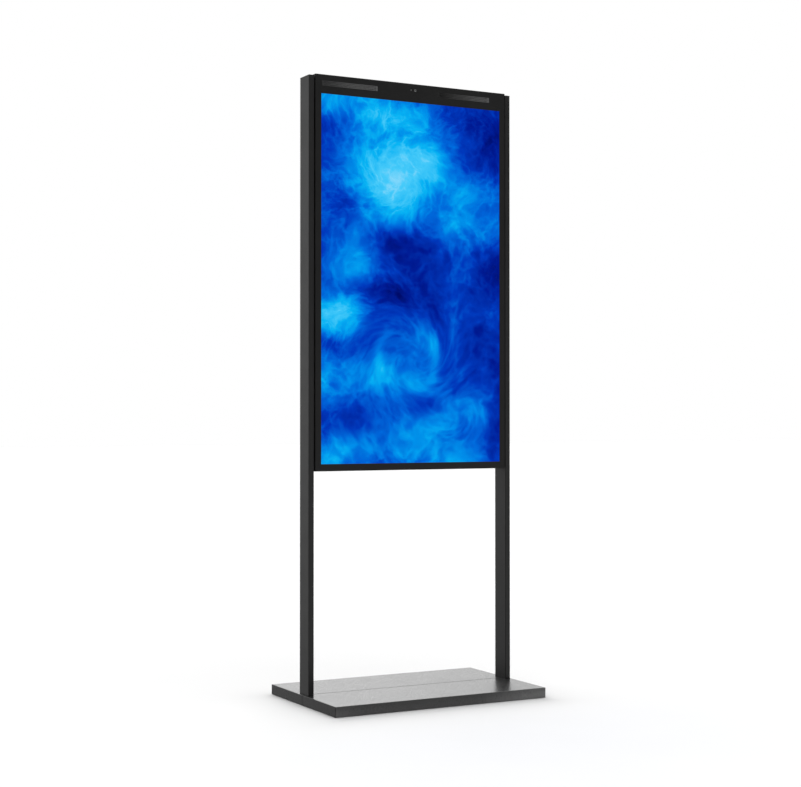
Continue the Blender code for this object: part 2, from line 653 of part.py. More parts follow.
def power_supply(case):
    """A flat supply with a row of vents across its back."""
    x, z, depth = POWER_SUPPLY
    pitch = (z[1] - z[0]) / (SUPPLY_VENTS + 1)
    back = ELECTRONICS_FRONT + depth
    vents = []
    for vent in range(SUPPLY_VENTS):
        tall = around(z[0] + (vent + 1) * pitch, 0.4 * pitch)
        vents.append(((x[0] + 0.01, x[1] - 0.01), (back - SUPPLY_VENT_DEPTH, back + OVERRUN), tall))
    finish(cut(on_plate("power_supply", POWER_SUPPLY), boxes("cut_supply_vents", vents)), case)


def boards(board_green):
    """The board that drives the panel, and the smaller one that reads the touch glass."""
    display_board = on_plate("display_board", DISPLAY_BOARD)
    on_board = DISPLAY_BOARD[2] - OVERLAP
    join(display_board, on_plate("add_heat_sink", HEAT_SINK, on_board))
    join(display_board, on_plate("add_connectors", BOARD_CONNECTORS, on_board))
    finish(display_board, board_green)
    controller = on_plate("touch_controller", TOUCH_CONTROLLER)
    join(controller, on_plate("add_ribbon_socket", RIBBON_SOCKET, TOUCH_CONTROLLER[2] - OVERLAP))
    finish(controller, board_green)


# Fans

def fan(side, plastic, rotor_plastic):
    """A square frame with arms that hold the motor, and the rotor that turns in its bore."""
    x = FAN_X[side]
    middle = (x, FAN_Z)
    deep = (FAN_FRONT, FAN_BACK)
    frame = box(f"fan_frame_{side}", around(x, FAN_SIZE), deep, around(FAN_Z, FAN_SIZE))
    bore = (FAN_FRONT - OVERRUN, FAN_BACK + OVERRUN)
    cut(frame, cylinder("cut_fan_bore", middle, FAN_BORE_RADIUS, bore, "Y", sides=32))
    arm_width, arm_depth = FAN_ARM
    arms_back = FAN_FRONT + arm_depth
    arm_length = FAN_SIZE - 2 * OVERLAP
    arm = (FAN_FRONT, arms_back)
    join(frame, box("add_arm_across", around(x, arm_length), arm, around(FAN_Z, arm_width)))
    join(frame, box("add_arm_upright", around(x, arm_width), arm, around(FAN_Z, arm_length)))
    join(frame, cylinder("add_motor_mount", middle, FAN_HUB_RADIUS, arm, "Y", sides=20))
    finish(frame, plastic)
    rotor = fan_rotor(f"fan_rotor_{side}", x, arms_back + OVERLAP, FAN_BACK - 2 * OVERLAP)
    on_axis(f"fan_axis_{side}", (x, FAN_BACK, FAN_Z), [finish(rotor, rotor_plastic)])


def fan_rotor(name, x, front, back):
    """A hub with swept blades: one outline that turns as it is drawn out from front to back."""
    pitch = 2 * math.pi / FAN_BLADES
    blade = (
        (FAN_HUB_RADIUS, 0.0),
        (FAN_BLADE_RADIUS, 0.10),
        (FAN_BLADE_RADIUS, 0.22),
        (FAN_HUB_RADIUS, 0.14),
        (FAN_HUB_RADIUS, 0.57),
    )
    outline = [(radius, (n + share) * pitch) for n in range(FAN_BLADES) for radius, share in blade]
    layers = 4
    bm = bmesh.new()
    rings = []
    for step in range(layers):
        share = step / (layers - 1)
        y = front + share * (back - front)
        ring = []
        for radius, turn in outline:
            angle = turn + share * FAN_SWEEP
            ring.append(bm.verts.new((x + radius * math.cos(angle), y, FAN_Z + radius * math.sin(angle))))
        rings.append(ring)
    for near, far in zip(rings, rings[1:]):
        for n in range(len(outline)):
            after = (n + 1) % len(outline)
            bm.faces.new((near[n], near[after], far[after], far[n]))
    bm.faces.new(rings[0])
    bm.faces.new(rings[-1])
    return add_object(name, bm)


# Service door

def service_door(coat):
    """A flat door over the service opening, with a stiffening rim just inside it."""
    width = 2 * (OPENING_HALF + DOOR_LAP)
    tall = (OPENING[0] - DOOR_LAP, OPENING[1] + DOOR_LAP)
    door = box("service_door", around(0, width), (DOOR_FRONT, DOOR_BACK), tall)
    rim_front = DOOR_FRONT - DOOR_RIM_DEPTH
    rim_width = 2 * (OPENING_HALF - DOOR_RIM_GAP)
    rim_tall = (OPENING[0] + DOOR_RIM_GAP, OPENING[1] - DOOR_RIM_GAP)
    rim_back = (DOOR_FRONT + DOOR_BACK) / 2
    join(door, box("add_rim", around(0, rim_width), (rim_front, rim_back), rim_tall))
    hollow_deep = (rim_front - OVERRUN, DOOR_FRONT)
    hollow_tall = (rim_tall[0] + SHEET, rim_tall[1] - SHEET)
    cut(door, box("cut_rim_hollow", around(0, rim_width - 2 * SHEET), hollow_deep, hollow_tall))
    through = (DOOR_FRONT - OVERRUN, DOOR_BACK + OVERRUN)
    for z in LOCK_HEIGHTS.values():
        cut(door, cylinder("cut_lock_hole", (LOCK_X, z), LOCK_RADIUS + CLEARANCE, through, "Y"))
    return finish(door, coat)


def hinge(level, coat, zinc):
    """A butt hinge: the housing's leaf, the door's leaf and the pin. Returns the door's leaf."""
    z = HINGE_HEIGHTS[level]
    middle = (HINGE_X, HINGE_Y)
    whole = around(z, HINGE_LENGTH)
    knuckle = around(z, KNUCKLE_LENGTH)
    bore_radius = HINGE_PIN_RADIUS + FINE_CLEARANCE
    bore = around(z, HINGE_LENGTH + OVERRUN)

    fixed = box(f"hinge_{level}_fixed_leaf", (HINGE_X - HINGE_LEAF, HINGE_X), (DOOR_FRONT, DOOR_BACK), whole)
    join(fixed, cylinder("add_fixed_barrel", middle, KNUCKLE_RADIUS, whole, sides=20))
    past_barrel = 2 * (KNUCKLE_RADIUS + OVERLAP)
    room = (around(HINGE_X, past_barrel), around(HINGE_Y, 2 * past_barrel))
    cut(fixed, box("cut_middle_knuckle", *room, around(z, KNUCKLE_LENGTH + 2 * CLEARANCE)))
    cut(fixed, cylinder("cut_pin_bore", middle, bore_radius, bore, sides=20))
    finish(fixed, coat)

    leaf_front = DOOR_BACK + CLEARANCE
    leaf_span = (leaf_front, leaf_front + SHEET)
    leaf = box(f"hinge_{level}_door_leaf", (HINGE_X, HINGE_X + HINGE_LEAF), leaf_span, knuckle)
    join(leaf, cylinder("add_door_knuckle", middle, KNUCKLE_RADIUS, knuckle, sides=20))
    cut(leaf, cylinder("cut_pin_bore", middle, bore_radius, bore, sides=20))
    finish(cylinder(f"hinge_{level}_pin", middle, HINGE_PIN_RADIUS, whole, sides=20), zinc)
    return finish(leaf, coat)


def door_lock(level, zinc):
    """A quarter-turn lock: the body in the door, and the plug that carries the cam. Returns the body."""
    z = LOCK_HEIGHTS[level]
    middle = (LOCK_X, z)
    flange_radius, flange_depth = LOCK_FLANGE
    flange_front = DOOR_BACK + CLEARANCE
    body_span = (LOCK_FRONT, flange_front + OVERLAP)
    body = cylinder(f"lock_body_{level}", middle, LOCK_RADIUS, body_span, "Y")
    flange = (flange_front, flange_front + flange_depth)
    join(body, cylinder("add_flange", middle, flange_radius, flange, "Y"))
    bore = (LOCK_FRONT - OVERRUN, flange[1] + OVERRUN)
    cut(body, cylinder("cut_plug_bore", middle, LOCK_PLUG_RADIUS + FINE_CLEARANCE, bore, "Y"))
    finish(body, zinc)

    cam_tall = (z - CAM_REACH, z + CAM_WIDTH / 2)
    cam = box(f"lock_cam_{level}", around(LOCK_X, CAM_WIDTH), CAM_SPAN, cam_tall)
    plug_end = flange[1] - CLEARANCE
    join(cam, cylinder("add_plug", middle, LOCK_PLUG_RADIUS, (CAM_SPAN[1] - OVERLAP, plug_end), "Y"))
    keyway_span = (DOOR_BACK - OVERLAP, plug_end + OVERRUN)
    cut(cam, box("cut_keyway", around(LOCK_X, KEYWAY[0]), keyway_span, around(z, KEYWAY[1])))
    on_axis(f"lock_axis_{level}", (LOCK_X, CAM_SPAN[1], z), [finish(cam, zinc)])
    return body


def build():
    clear_scene()
    coat = material("charcoal_powder_coat", (0.020, 0.020, 0.021), 0.40)
    steel = material("mild_steel", (0.30, 0.30, 0.31), 0.45, 1.0)
    zinc = material("zinc_plate", (0.55, 0.55, 0.56), 0.35, 1.0)
    player_case = material("player_case", (0.12, 0.12, 0.125), 0.45, 1.0)
    supply_case = material("supply_case", (0.60, 0.60, 0.61), 0.35, 1.0)
    black_plastic = material("black_plastic", (0.012, 0.012, 0.012), 0.50)
    rocker_plastic = material("rocker_plastic", (0.020, 0.020, 0.022), 0.30)
    rubber = material("black_rubber", (0.010, 0.010, 0.010), 0.90)
    board_green = material("circuit_board", (0.010, 0.080, 0.030), 0.50)
    glass = material("touch_glass", (0.02, 0.03, 0.05), 0.05)
    blue = material("screen_blue", (0.0, 0.12, 0.65), 0.30)
    lens_glass = material("smoked_glass", (0.06, 0.06, 0.06), 0.10)

    base_plate(steel)
    base_pads(rubber)
    base_cover("front", -1, coat)
    cut(base_cover("rear", 1, coat), socket_cutter())
    mains_inlet(black_plastic)
    power_switch(black_plastic, rocker_plastic)
    for side, sign in SIDES:
        foot_bracket(side, sign, steel)
        foot_bolts(side, sign, zinc)
        upright(side, sign, coat)
        upright_cap(side, sign, coat)
        for level, z in BRACKET_HEIGHTS.items():
            side_bracket(side, sign, level, z, steel)
            side_bolt(side, sign, level, z, zinc)

    front_frame(coat)
    layer("touch_glass", GLASS_MARGIN, GLASS_FRONT, GLASS_THICKNESS, glass)
    layer("lcd_panel", PANEL_MARGIN, PANEL_FRONT, PANEL_THICKNESS, blue)
    mounting_plate(steel)
    rear_housing(coat)
    for side, _ in SIDES:
        speaker_grille(side, coat)
        speaker(side, black_plastic)
        fan(side, black_plastic, rocker_plastic)
    camera(board_green, lens_glass)
    media_player(player_case)
    power_supply(supply_case)
    boards(board_green)

    on_door = [service_door(coat)]
    for level in ("upper", "lower"):
        on_door.append(hinge(level, coat, zinc))
        on_door.append(door_lock(level, zinc))
    on_axis("service_door_axis", (HINGE_X, HINGE_Y, sum(OPENING) / 2), on_door)


build()
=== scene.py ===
"""The looks of the touchscreen kiosk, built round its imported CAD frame.

Metres, +Z up. The screen faces -Y and +X is on the right of someone looking at it.
"""

import functools
import math
import random

import bmesh
import bpy
from mathutils import Matrix, Vector


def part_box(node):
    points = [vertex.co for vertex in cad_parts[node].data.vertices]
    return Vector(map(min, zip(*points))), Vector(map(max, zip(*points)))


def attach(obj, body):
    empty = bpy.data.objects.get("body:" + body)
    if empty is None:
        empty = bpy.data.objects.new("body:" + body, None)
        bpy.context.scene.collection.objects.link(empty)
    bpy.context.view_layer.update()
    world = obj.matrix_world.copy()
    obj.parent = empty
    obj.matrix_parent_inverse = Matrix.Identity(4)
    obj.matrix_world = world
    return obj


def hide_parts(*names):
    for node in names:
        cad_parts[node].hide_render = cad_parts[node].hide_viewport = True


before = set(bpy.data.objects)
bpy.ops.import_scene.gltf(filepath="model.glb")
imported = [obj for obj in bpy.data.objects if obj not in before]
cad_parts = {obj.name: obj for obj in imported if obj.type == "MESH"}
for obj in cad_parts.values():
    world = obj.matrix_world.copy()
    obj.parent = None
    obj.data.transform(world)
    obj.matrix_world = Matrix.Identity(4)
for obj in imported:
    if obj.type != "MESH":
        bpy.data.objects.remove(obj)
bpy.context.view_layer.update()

STATIC = "kiosk"
DOOR = "service_door"
SIDES = ("left", "right")
LEVELS = ("upper", "lower")
AXES = {"X": Vector((1, 0, 0)), "Y": Vector((0, 1, 0)), "Z": Vector((0, 0, 1))}

SHEET = 0.0015  # steel sheet of the display
BASE_SHEET = 0.002
UPRIGHT_WALL = 0.0025
CLEARANCE = 0.0003
PANEL_MARGIN = 0.0115  # of the panel past the screen's active area
OVERRUN = 0.01  # how far a cutter passes a face that it cuts through
DOOR_LAP = 0.012  # of the service door over the edge of its opening
RIM_GAP = 0.0035  # between that edge and the rim inside the door
SCREW_INSET = 0.011  # of the rear tray's screws from its edges
BOLT_HOLE = 0.0043  # radius of the holes for the side bolts
LOCK_HOLE = 0.008  # radius of the holes for the locks
SOCKET_RISE = 0.0103  # from the middle of the inlet and the switch to the top of their openings
CABLE_ENTRY = (0.026, 0.0262, 0.0042)  # y, z and radius: from the base into the left upright
CABLE_EXIT = (0.006, 0.92, 0.008)  # and from there into the display
VENT_ROWS = 9
VENT_SLOT = (0.068, 0.004)
VENT_PITCH = 0.008
INTAKE_COLUMNS = 12
INTAKE_SLOT = (0.032, 0.004)
INTAKE_PITCH = 0.045
INTAKE_ROWS = (0.006, 0.016)
BOARD = 0.0016  # thickness of a printed board
PILLAR = 0.0034  # height of the standoffs under it


# Camera

camera_data = bpy.data.cameras.new("camera")
camera_data.lens, camera_data.sensor_width, camera_data.clip_end = 73.64, 36.0, 200.0
camera = bpy.data.objects.new("camera", camera_data)
bpy.context.scene.collection.objects.link(camera)
camera.location = (-2.63274, -4.85434, 0.94934)
camera.rotation_euler = tuple(math.radians(turn) for turn in (90.708, 0.0, -28.219))
bpy.context.scene.camera = camera
bpy.context.scene.view_settings.view_transform = "Standard"


# Node graphs

class Graph:
    """Builds a shader tree: each input is a number, a colour or another node's output."""

    def __init__(self, tree):
        self.tree = tree

    def node(self, kind, inputs, out=0, **settings):
        made = self.tree.nodes.new("ShaderNode" + kind)
        for key, value in settings.items():
            setattr(made, key, value)
        self.fill(made, inputs)
        return made.outputs[out]

    def fill(self, node, inputs):
        for key, value in inputs.items():
            if isinstance(value, bpy.types.NodeSocket):
                self.tree.links.new(value, node.inputs[key])
            else:
                node.inputs[key].default_value = value

    def math(self, operation, *values):
        return self.node("Math", dict(enumerate(values)), operation=operation)

    def total(self, *values):
        return functools.reduce(lambda a, b: self.math("ADD", a, b), values)

    def times(self, *values):
        return functools.reduce(lambda a, b: self.math("MULTIPLY", a, b), values)

    def minus(self, first, second):
        return self.math("SUBTRACT", first, second)

    def exp(self, value, rate):
        """e to the power of value times rate."""
        return self.math("EXPONENT", self.times(value, rate))

    def vector(self, operation, *values, out=0):
        return self.node("VectorMath", dict(enumerate(values)), out, operation=operation)

    def axis(self, vector, name):
        return self.node("SeparateXYZ", {0: vector}, name)

    def noise(self, at, scale, detail=2.0, rough=0.5, out=0):
        inputs = {"Vector": at, "Scale": scale, "Detail": detail, "Roughness": rough}
        return self.node("TexNoise", inputs, out)

    def span(self, value, low, high, to_low=0.0, to_high=1.0, smooth=False):
        inputs = {"Value": value, "From Min": low, "From Max": high, "To Min": to_low, "To Max": to_high}
        kind = "SMOOTHSTEP" if smooth else "LINEAR"
        return self.node("MapRange", inputs, interpolation_type=kind)

    def mix(self, share, first, second):
        return self.node("Mix", {0: share, 6: first, 7: second}, 2, data_type="RGBA")

    def bump(self, height, depth):
        return self.node("Bump", {"Strength": 1.0, "Distance": depth, "Height": height})

    def coords(self):
        return self.node("TexCoord", {}, "Object")


def tone(value):
    """A colour from a linear grey, or from linear red, green and blue."""
    return (*value, 1.0) if isinstance(value, tuple) else (value, value, value, 1.0)


def from_screen(*levels):
    """A linear colour from 0 to 255 display levels."""
    shares = [level / 255 for level in levels]
    return tone(tuple(s / 12.92 if s <= 0.04045 else ((s + 0.055) / 1.055) ** 2.4 for s in shares))


def new_material(name):
    made = bpy.data.materials.new(name)
    made.use_nodes = True
    return made, Graph(made.node_tree), made.node_tree.nodes["Principled BSDF"]


def edge_mask(graph, radius=0.0012):
    """1 along the edges of the piece and 0 away from them, broken up by noise."""
    bent = graph.node("Bevel", {"Radius": radius}, samples=4)
    flat = graph.node("NewGeometry", {}, "Normal")
    off = graph.minus(1.0, graph.vector("DOT_PRODUCT", bent, flat, out=1))
    patches = graph.noise(graph.coords(), 90.0, 4.0, 0.7)
    return graph.times(graph.span(off, 0.01, 0.12), graph.span(patches, 0.4, 0.62))


def surface(name, base, vary, roughness, rough_vary, grain, depth, metallic=0.0, wear=None, stretch=(1, 1, 1),
            patches=14.0, fleck=0.02, shine=0.5, shade=None):
    """A painted, plated, moulded or rubber surface.

    It drifts between base and vary, and in roughness by rough_vary, in so many patches to a metre. grain is how many
    bumps go to a metre, depth how deep they are, and fleck how much they change the roughness. wear is what edges
    rub towards, and how far. shine is how much it mirrors, and shade(graph, tint, rough) changes it along the piece.
    """
    made, graph, shader = new_material(name)
    base, vary = tone(base), tone(vary)
    place = graph.vector("MULTIPLY", graph.coords(), stretch)
    drift = graph.noise(place, patches, 5.0, 0.6)
    fine = graph.noise(place, grain, 3.0, 0.55)
    tint = graph.mix(graph.span(drift, 0.32, 0.68), base, vary)
    tint = graph.mix(graph.span(fine, 0.35, 0.75, 0.0, 0.35), tint, tone(tuple(1.6 * c for c in vary[:3])))
    rough = graph.total(roughness, graph.span(drift, 0.3, 0.7, -rough_vary, rough_vary),
                        graph.span(fine, 0.3, 0.7, -fleck, fleck))
    if shade:
        tint, rough = shade(graph, tint, rough)
    if wear:
        edges = edge_mask(graph)
        tint = graph.mix(graph.times(edges, wear[1]), tint, tone(wear[0]))
        rough = graph.minus(rough, graph.times(edges, 0.08))
    graph.fill(shader, {"Base Color": tint, "Roughness": rough, "Normal": graph.bump(fine, depth),
                        "Metallic": metallic, "Specular IOR Level": shine})
    return made


def seam_dirt_and_painted_light(graph, tint, rough):
    """Seam dirt, painted shade on the base's left end, and a painted floor reflection on its front, most low and on
    the right.
    """
    place = graph.coords()
    x, y, z = (graph.axis(place, name) for name in "XYZ")
    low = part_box("base_cover_front")[0]
    # painted shade: the base's left end face is darkened
    tint = graph.mix(graph.span(x, low.x + 0.0012, low.x + 0.0002), tint, tone(0.003))
    # painted reflection of the floor: the front face is lightened, most near the floor and at the right end, in noisy
    # patches
    facing = graph.span(y, low.y + 0.0012, low.y + 0.0002)
    height = graph.span(z, 0.005, 0.033, 1.0, 0.5, smooth=True)
    ends = graph.total(graph.span(x, 0.1, 0.4, 0.29, 1.3, smooth=True),
                       graph.span(x, -0.28, -0.38, 0.0, 0.21, smooth=True))
    painted_reflection_patches = graph.span(graph.noise(place, 45.0, 5.0, 0.65), 0.3, 0.7, 0.85, 1.15)
    tint = graph.mix(graph.times(facing, height, ends, painted_reflection_patches), tint, tone(0.13))
    seam = graph.span(graph.math("ABSOLUTE", y), 0.006, 0.0015)
    seam = graph.times(seam, graph.span(graph.noise(place, 60.0, 4.0, 0.6), 0.35, 0.65, 0.55, 1.0))
    return tint, graph.math("MULTIPLY_ADD", seam, 0.18, rough)


def grille_painted_sheen(node, near, far, start):
    """A painted sheen that lightens a grille from near to far, as shares of its length. start is how much colour its
    left end shows.
    """
    low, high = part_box(node)
    length = high.x - low.x

    def shade(graph, tint, rough):
        x = graph.axis(graph.coords(), "X")
        # painted sheen: darkened at the grille's left end, the coat's own colour from far on
        share = graph.span(x, low.x + near * length, low.x + far * length, start, 1.0)
        return graph.mix(share, tone(0.0075), tint), rough
    return shade


COAT_EDGE = (0.06, 0.4)
upright_coat = surface("upright_coat", 0.0085, 0.0112, 0.4, 0.03, 900, 0.00008, wear=COAT_EDGE, fleck=0.04)
display_coat = surface("display_coat", 0.0054, 0.0074, 0.42, 0.03, 900, 0.00008, wear=COAT_EDGE, fleck=0.04,
                       shine=0.4)
# the base's coat carries painted shade on its left end and a painted floor reflection on its front
base_coat = surface("base_coat", 0.014, 0.017, 0.31, 0.008, 280, 0.00013, wear=COAT_EDGE, fleck=0.08, shade=seam_dirt_and_painted_light)
# the grilles' coats carry a painted sheen that grows towards their right ends
grille_coat_and_sheen = {
    side: surface(f"grille_coat_{side}", 0.08, 0.105, 0.45, 0.03, 900, 0.00004,
                  shade=grille_painted_sheen(f"speaker_grille_{side}", *fade))
    for side, *fade in (("left", 0.0, 0.55, 0.22), ("right", 0.1, 0.85, 0.0))
}
mild_steel = surface("mild_steel", 0.28, 0.36, 0.42, 0.06, 260, 0.00003, 1.0, (0.55, 0.4), (1, 1, 12))
zinc_plate = surface("zinc_plate", (0.5, 0.5, 0.52), (0.62, 0.61, 0.6), 0.3, 0.08, 320, 0.00002, 1.0,
                     (0.75, 0.5), patches=60.0)
player_case = surface("player_case", 0.07, 0.09, 0.42, 0.05, 600, 0.00003, 0.8, (0.35, 0.5), (8, 1, 1))
supply_case = surface("supply_case", 0.52, 0.62, 0.34, 0.07, 300, 0.00002, 1.0, (0.8, 0.5), (1, 1, 10))
panel_case = surface("panel_case", 0.34, 0.4, 0.4, 0.05, 300, 0.00002, 1.0, (0.6, 0.4), (6, 1, 1))
black_plastic = surface("black_plastic", 0.01, 0.014, 0.48, 0.05, 1100, 0.00004, wear=(0.05, 0.4), patches=40.0)
rocker_plastic = surface("rocker_plastic", (0.012, 0.012, 0.013), (0.018, 0.018, 0.02), 0.26, 0.06, 500, 0.00001,
                         wear=(0.06, 0.4), patches=60.0)
rubber = surface("black_rubber", 0.01, 0.016, 0.82, 0.06, 500, 0.00008, wear=(0.04, 0.5), patches=60.0)
board_green = surface("circuit_board", (0.004, 0.045, 0.016), (0.008, 0.075, 0.028), 0.38, 0.06, 400, 0.00003,
                      wear=((0.2, 0.16, 0.06), 0.5), patches=90.0)
chip_black = surface("chip_black", 0.012, 0.02, 0.55, 0.05, 1500, 0.00002, wear=(0.05, 0.4), patches=200.0)
socket_white = surface("socket_white", (0.55, 0.53, 0.46), (0.66, 0.64, 0.57), 0.45, 0.05, 800, 0.00002,
                       wear=(0.75, 0.4), patches=120.0)
lens_glass = surface("lens_glass", 0.045, 0.055, 0.1, 0.03, 500, 0.000005, wear=(0.12, 0.3), patches=300.0)
sensor_lens = surface("sensor_lens", 0.095, 0.115, 0.3, 0.03, 500, 0.000005, wear=(0.12, 0.3), patches=300.0)
lens_ring = surface("lens_ring", 0.24, 0.3, 0.38, 0.05, 1500, 0.00001, wear=(0.3, 0.4), patches=300.0)


def touch_glass_material():
    """Clear glass with an anti-reflection coat: it mirrors little, and more at a glancing angle."""
    made, graph, shader = new_material("touch_glass")
    place = graph.coords()
    smears = graph.noise(graph.vector("MULTIPLY", place, (1.0, 1.0, 0.35)), 16.0, 6.0, 0.65)
    rough = graph.span(smears, 0.35, 0.75, 0.035, 0.12)
    bump = graph.bump(graph.noise(place, 400.0, 2.0), 0.000002)
    mirror = graph.node("BsdfGlossy", {"Color": tone((0.95, 0.97, 1.0)), "Roughness": rough, "Normal": bump})
    clear = graph.node("BsdfTransparent", {"Color": tone((0.99, 0.995, 1.0))})
    share = graph.node("Fresnel", {"IOR": 1.07})
    both = graph.node("MixShader", {0: share, 1: clear, 2: mirror})
    made.node_tree.nodes.remove(shader)
    graph.fill(made.node_tree.nodes["Material Output"], {"Surface": both})
    return made


touch_glass = touch_glass_material()


# The picture on the screen

# Soft lobes of light in the picture: x, z, half width, half height, strength
LOBES = (
    (-0.11, 1.715, 0.125, 0.13, 0.58), (-0.08, 1.74, 0.06, 0.06, 0.22), (-0.035, 1.8, 0.12, 0.085, 0.16),
    (0.055, 1.8, 0.075, 0.07, 0.26), (-0.32, 1.99, 0.085, 0.055, 0.44), (-0.11, 1.95, 0.11, 0.06, 0.34),
    (0.01, 1.93, 0.13, 0.07, 0.18), (0.23, 1.7, 0.08, 0.08, 0.26), (0.13, 1.6, 0.15, 0.055, 0.17),
    (-0.22, 1.44, 0.11, 0.08, 0.2), (0.23, 1.53, 0.09, 0.06, 0.12), (-0.31, 1.265, 0.075, 0.055, 0.44),
    (-0.23, 1.29, 0.06, 0.04, 0.24), (-0.14, 1.08, 0.11, 0.065, 0.28), (-0.33, 1.08, 0.06, 0.07, 0.34),
    (0.07, 1.19, 0.06, 0.05, 0.22), (0.02, 1.06, 0.09, 0.05, 0.18), (0.2, 0.95, 0.085, 0.06, 0.26),
    (0.05, 0.89, 0.11, 0.045, 0.3), (0.16, 0.8, 0.085, 0.045, 0.38), (-0.33, 0.8, 0.09, 0.05, 0.26),
    (-0.1, 0.82, 0.15, 0.045, 0.22),
)
# Places where the picture sinks to navy
HOLLOWS = (
    (-0.31, 1.86, 0.07, 0.07, 0.1), (0.28, 1.96, 0.15, 0.1, 0.15), (0.26, 1.81, 0.07, 0.05, 0.1),
    (-0.25, 1.65, 0.06, 0.08, 0.12), (-0.11, 1.56, 0.07, 0.05, 0.16), (-0.05, 1.5, 0.09, 0.07, 0.3),
    (0.32, 1.42, 0.07, 0.09, 0.16), (-0.06, 1.35, 0.11, 0.05, 0.26), (-0.32, 1.19, 0.06, 0.03, 0.16),
    (0.3, 1.14, 0.11, 0.1, 0.2), (-0.24, 0.93, 0.08, 0.05, 0.12), (0.32, 0.86, 0.06, 0.07, 0.12),
)
SWIRLS = (  # x, z, reach, turn in radians
    (-0.06, 1.74, 0.12, 0.7), (-0.01, 1.13, 0.13, -1.7), (0.19, 0.96, 0.07, 1.3),
)
RING = (-0.02, 1.145, 0.112, 0.02)  # x, z, radius and half width of the curl
BRIGHT = 0.7  # past this level the ink bends off softly, so that it keeps its shape
INK = (
    (0.0, (0, 10, 104)), (0.16, (0, 28, 150)), (0.32, (0, 58, 190)), (0.48, (0, 104, 218)),
    (0.64, (0, 146, 234)), (0.8, (8, 182, 244)), (0.92, (72, 204, 250)), (1.0, (150, 222, 252)),
)


def picture_material():
    """Blue ink drifting in water, as a lit picture."""
    made, graph, shader = new_material("screen_picture")
    place = graph.vector("MULTIPLY", graph.coords(), (1.0, 0.0, 1.0))

    def warped(at, scale, amount, detail, seed):
        drift = graph.noise(graph.vector("ADD", at, (seed, seed * 0.7, -seed)), scale, detail, 0.55, out=1)
        drift = graph.vector("MULTIPLY", graph.vector("SUBTRACT", drift, (0.5, 0.5, 0.5)), (1.0, 0.0, 1.0))
        drift = graph.node("VectorMath", {0: drift, "Scale": amount}, operation="SCALE")
        return graph.vector("ADD", at, drift)

    def swirled(at, x, z, reach, turn):
        far = graph.vector("DISTANCE", at, (x, 0.0, z), out=1)
        angle = graph.times(graph.exp(graph.times(far, far), -1.0 / reach ** 2), turn)
        return graph.node("VectorRotate", {"Vector": at, "Center": (x, 0.0, z), "Angle": angle},
                          rotation_type="Y_AXIS")

    def lobe(x, z, wide, tall, strength):
        off = graph.vector("SUBTRACT", soft, (x, 0.0, z))
        off = graph.vector("MULTIPLY", off, (1.0 / wide, 0.0, 1.0 / tall))
        return graph.times(graph.exp(graph.vector("DOT_PRODUCT", off, off, out=1), -0.8), strength)

    def ridges(at, scale, detail, sharp):
        value = graph.noise(at, scale, detail, 0.55)
        near = graph.minus(1.0, graph.math("ABSOLUTE", graph.math("MULTIPLY_ADD", value, 2.0, -1.0)))
        return graph.math("POWER", near, sharp)

    broad = place
    for swirl in SWIRLS:
        broad = swirled(broad, *swirl)
    soft = warped(place, 5.0, 0.07, 3.0, 5.3)
    broad = warped(broad, 3.2, 0.14, 2.0, 3.1)
    fine = warped(broad, 8.0, 0.08, 4.0, 7.7)
    finest = warped(fine, 22.0, 0.026, 4.0, 1.9)
    light, dark = (graph.total(*(lobe(*spot) for spot in spots)) for spots in (LOBES, HOLLOWS))

    x, z, radius, half = RING
    away = graph.vector("DISTANCE", soft, (x, 0.0, z), out=1)
    away = graph.math("DIVIDE", graph.minus(away, radius), half)
    curl = graph.exp(graph.times(away, away), -1.0)
    curl = graph.times(curl, graph.span(graph.noise(broad, 7.0, 2.0), 0.38, 0.62, 0.02, 0.22))

    clouds = graph.noise(finest, 5.0, 9.0, 0.62)
    level = graph.total(
        graph.span(clouds, 0.3, 0.7, 0.1, 0.42), graph.times(light, graph.span(clouds, 0.3, 0.7, 0.8, 1.2)),
        graph.times(ridges(fine, 7.0, 5.0, 12.0), graph.span(light, 0.0, 0.5, 0.08, 0.18)),
        graph.times(ridges(finest, 18.0, 6.0, 8.0), graph.span(light, 0.0, 0.5, 0.08, 0.14)), curl,
        graph.times(dark, -1.0),
    )
    over = graph.math("MAXIMUM", graph.minus(level, BRIGHT), 0.0)
    eased = graph.math("DIVIDE", over, graph.math("MULTIPLY_ADD", over, 1.9, 1.0))
    level = graph.total(graph.math("MINIMUM", level, BRIGHT), eased)
    ramp = made.node_tree.nodes.new("ShaderNodeValToRGB")
    ends = ramp.color_ramp.elements
    for end in (0, -1):
        ends[end].position, ends[end].color = INK[end][0], from_screen(*INK[end][1])
    for position, levels in INK[1:-1]:
        ends.new(position).color = from_screen(*levels)
    graph.fill(ramp, {"Fac": level})
    graph.fill(shader, {"Emission Color": ramp.outputs["Color"], "Emission Strength": 1.0, "Base Color": tone(0.0),
                        "Specular IOR Level": 0.0, "Roughness": graph.span(clouds, 0.3, 0.7, 0.45, 0.55)})
    return made


screen_picture = picture_material()


# Shapes

def around(middle, size):
    return (middle - size / 2, middle + size / 2)


def spread(count, pitch, middle=0.0):
    """Evenly spaced places about the middle."""
    return [middle + (step - (count - 1) / 2) * pitch for step in range(count)]


def spans_of(node):
    """The node's spans along X, Y and Z."""
    low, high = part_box(node)
    return tuple(zip(low, high))


def grown(spans, amount):
    """Spans with each side moved out by amount, or by one amount for each axis."""
    amounts = amount if isinstance(amount, tuple) else (amount,) * 3
    return tuple((low - more, high + more) for (low, high), more in zip(spans, amounts))


def middle_of(spans):
    return Vector(sum(ends) / 2 for ends in spans)


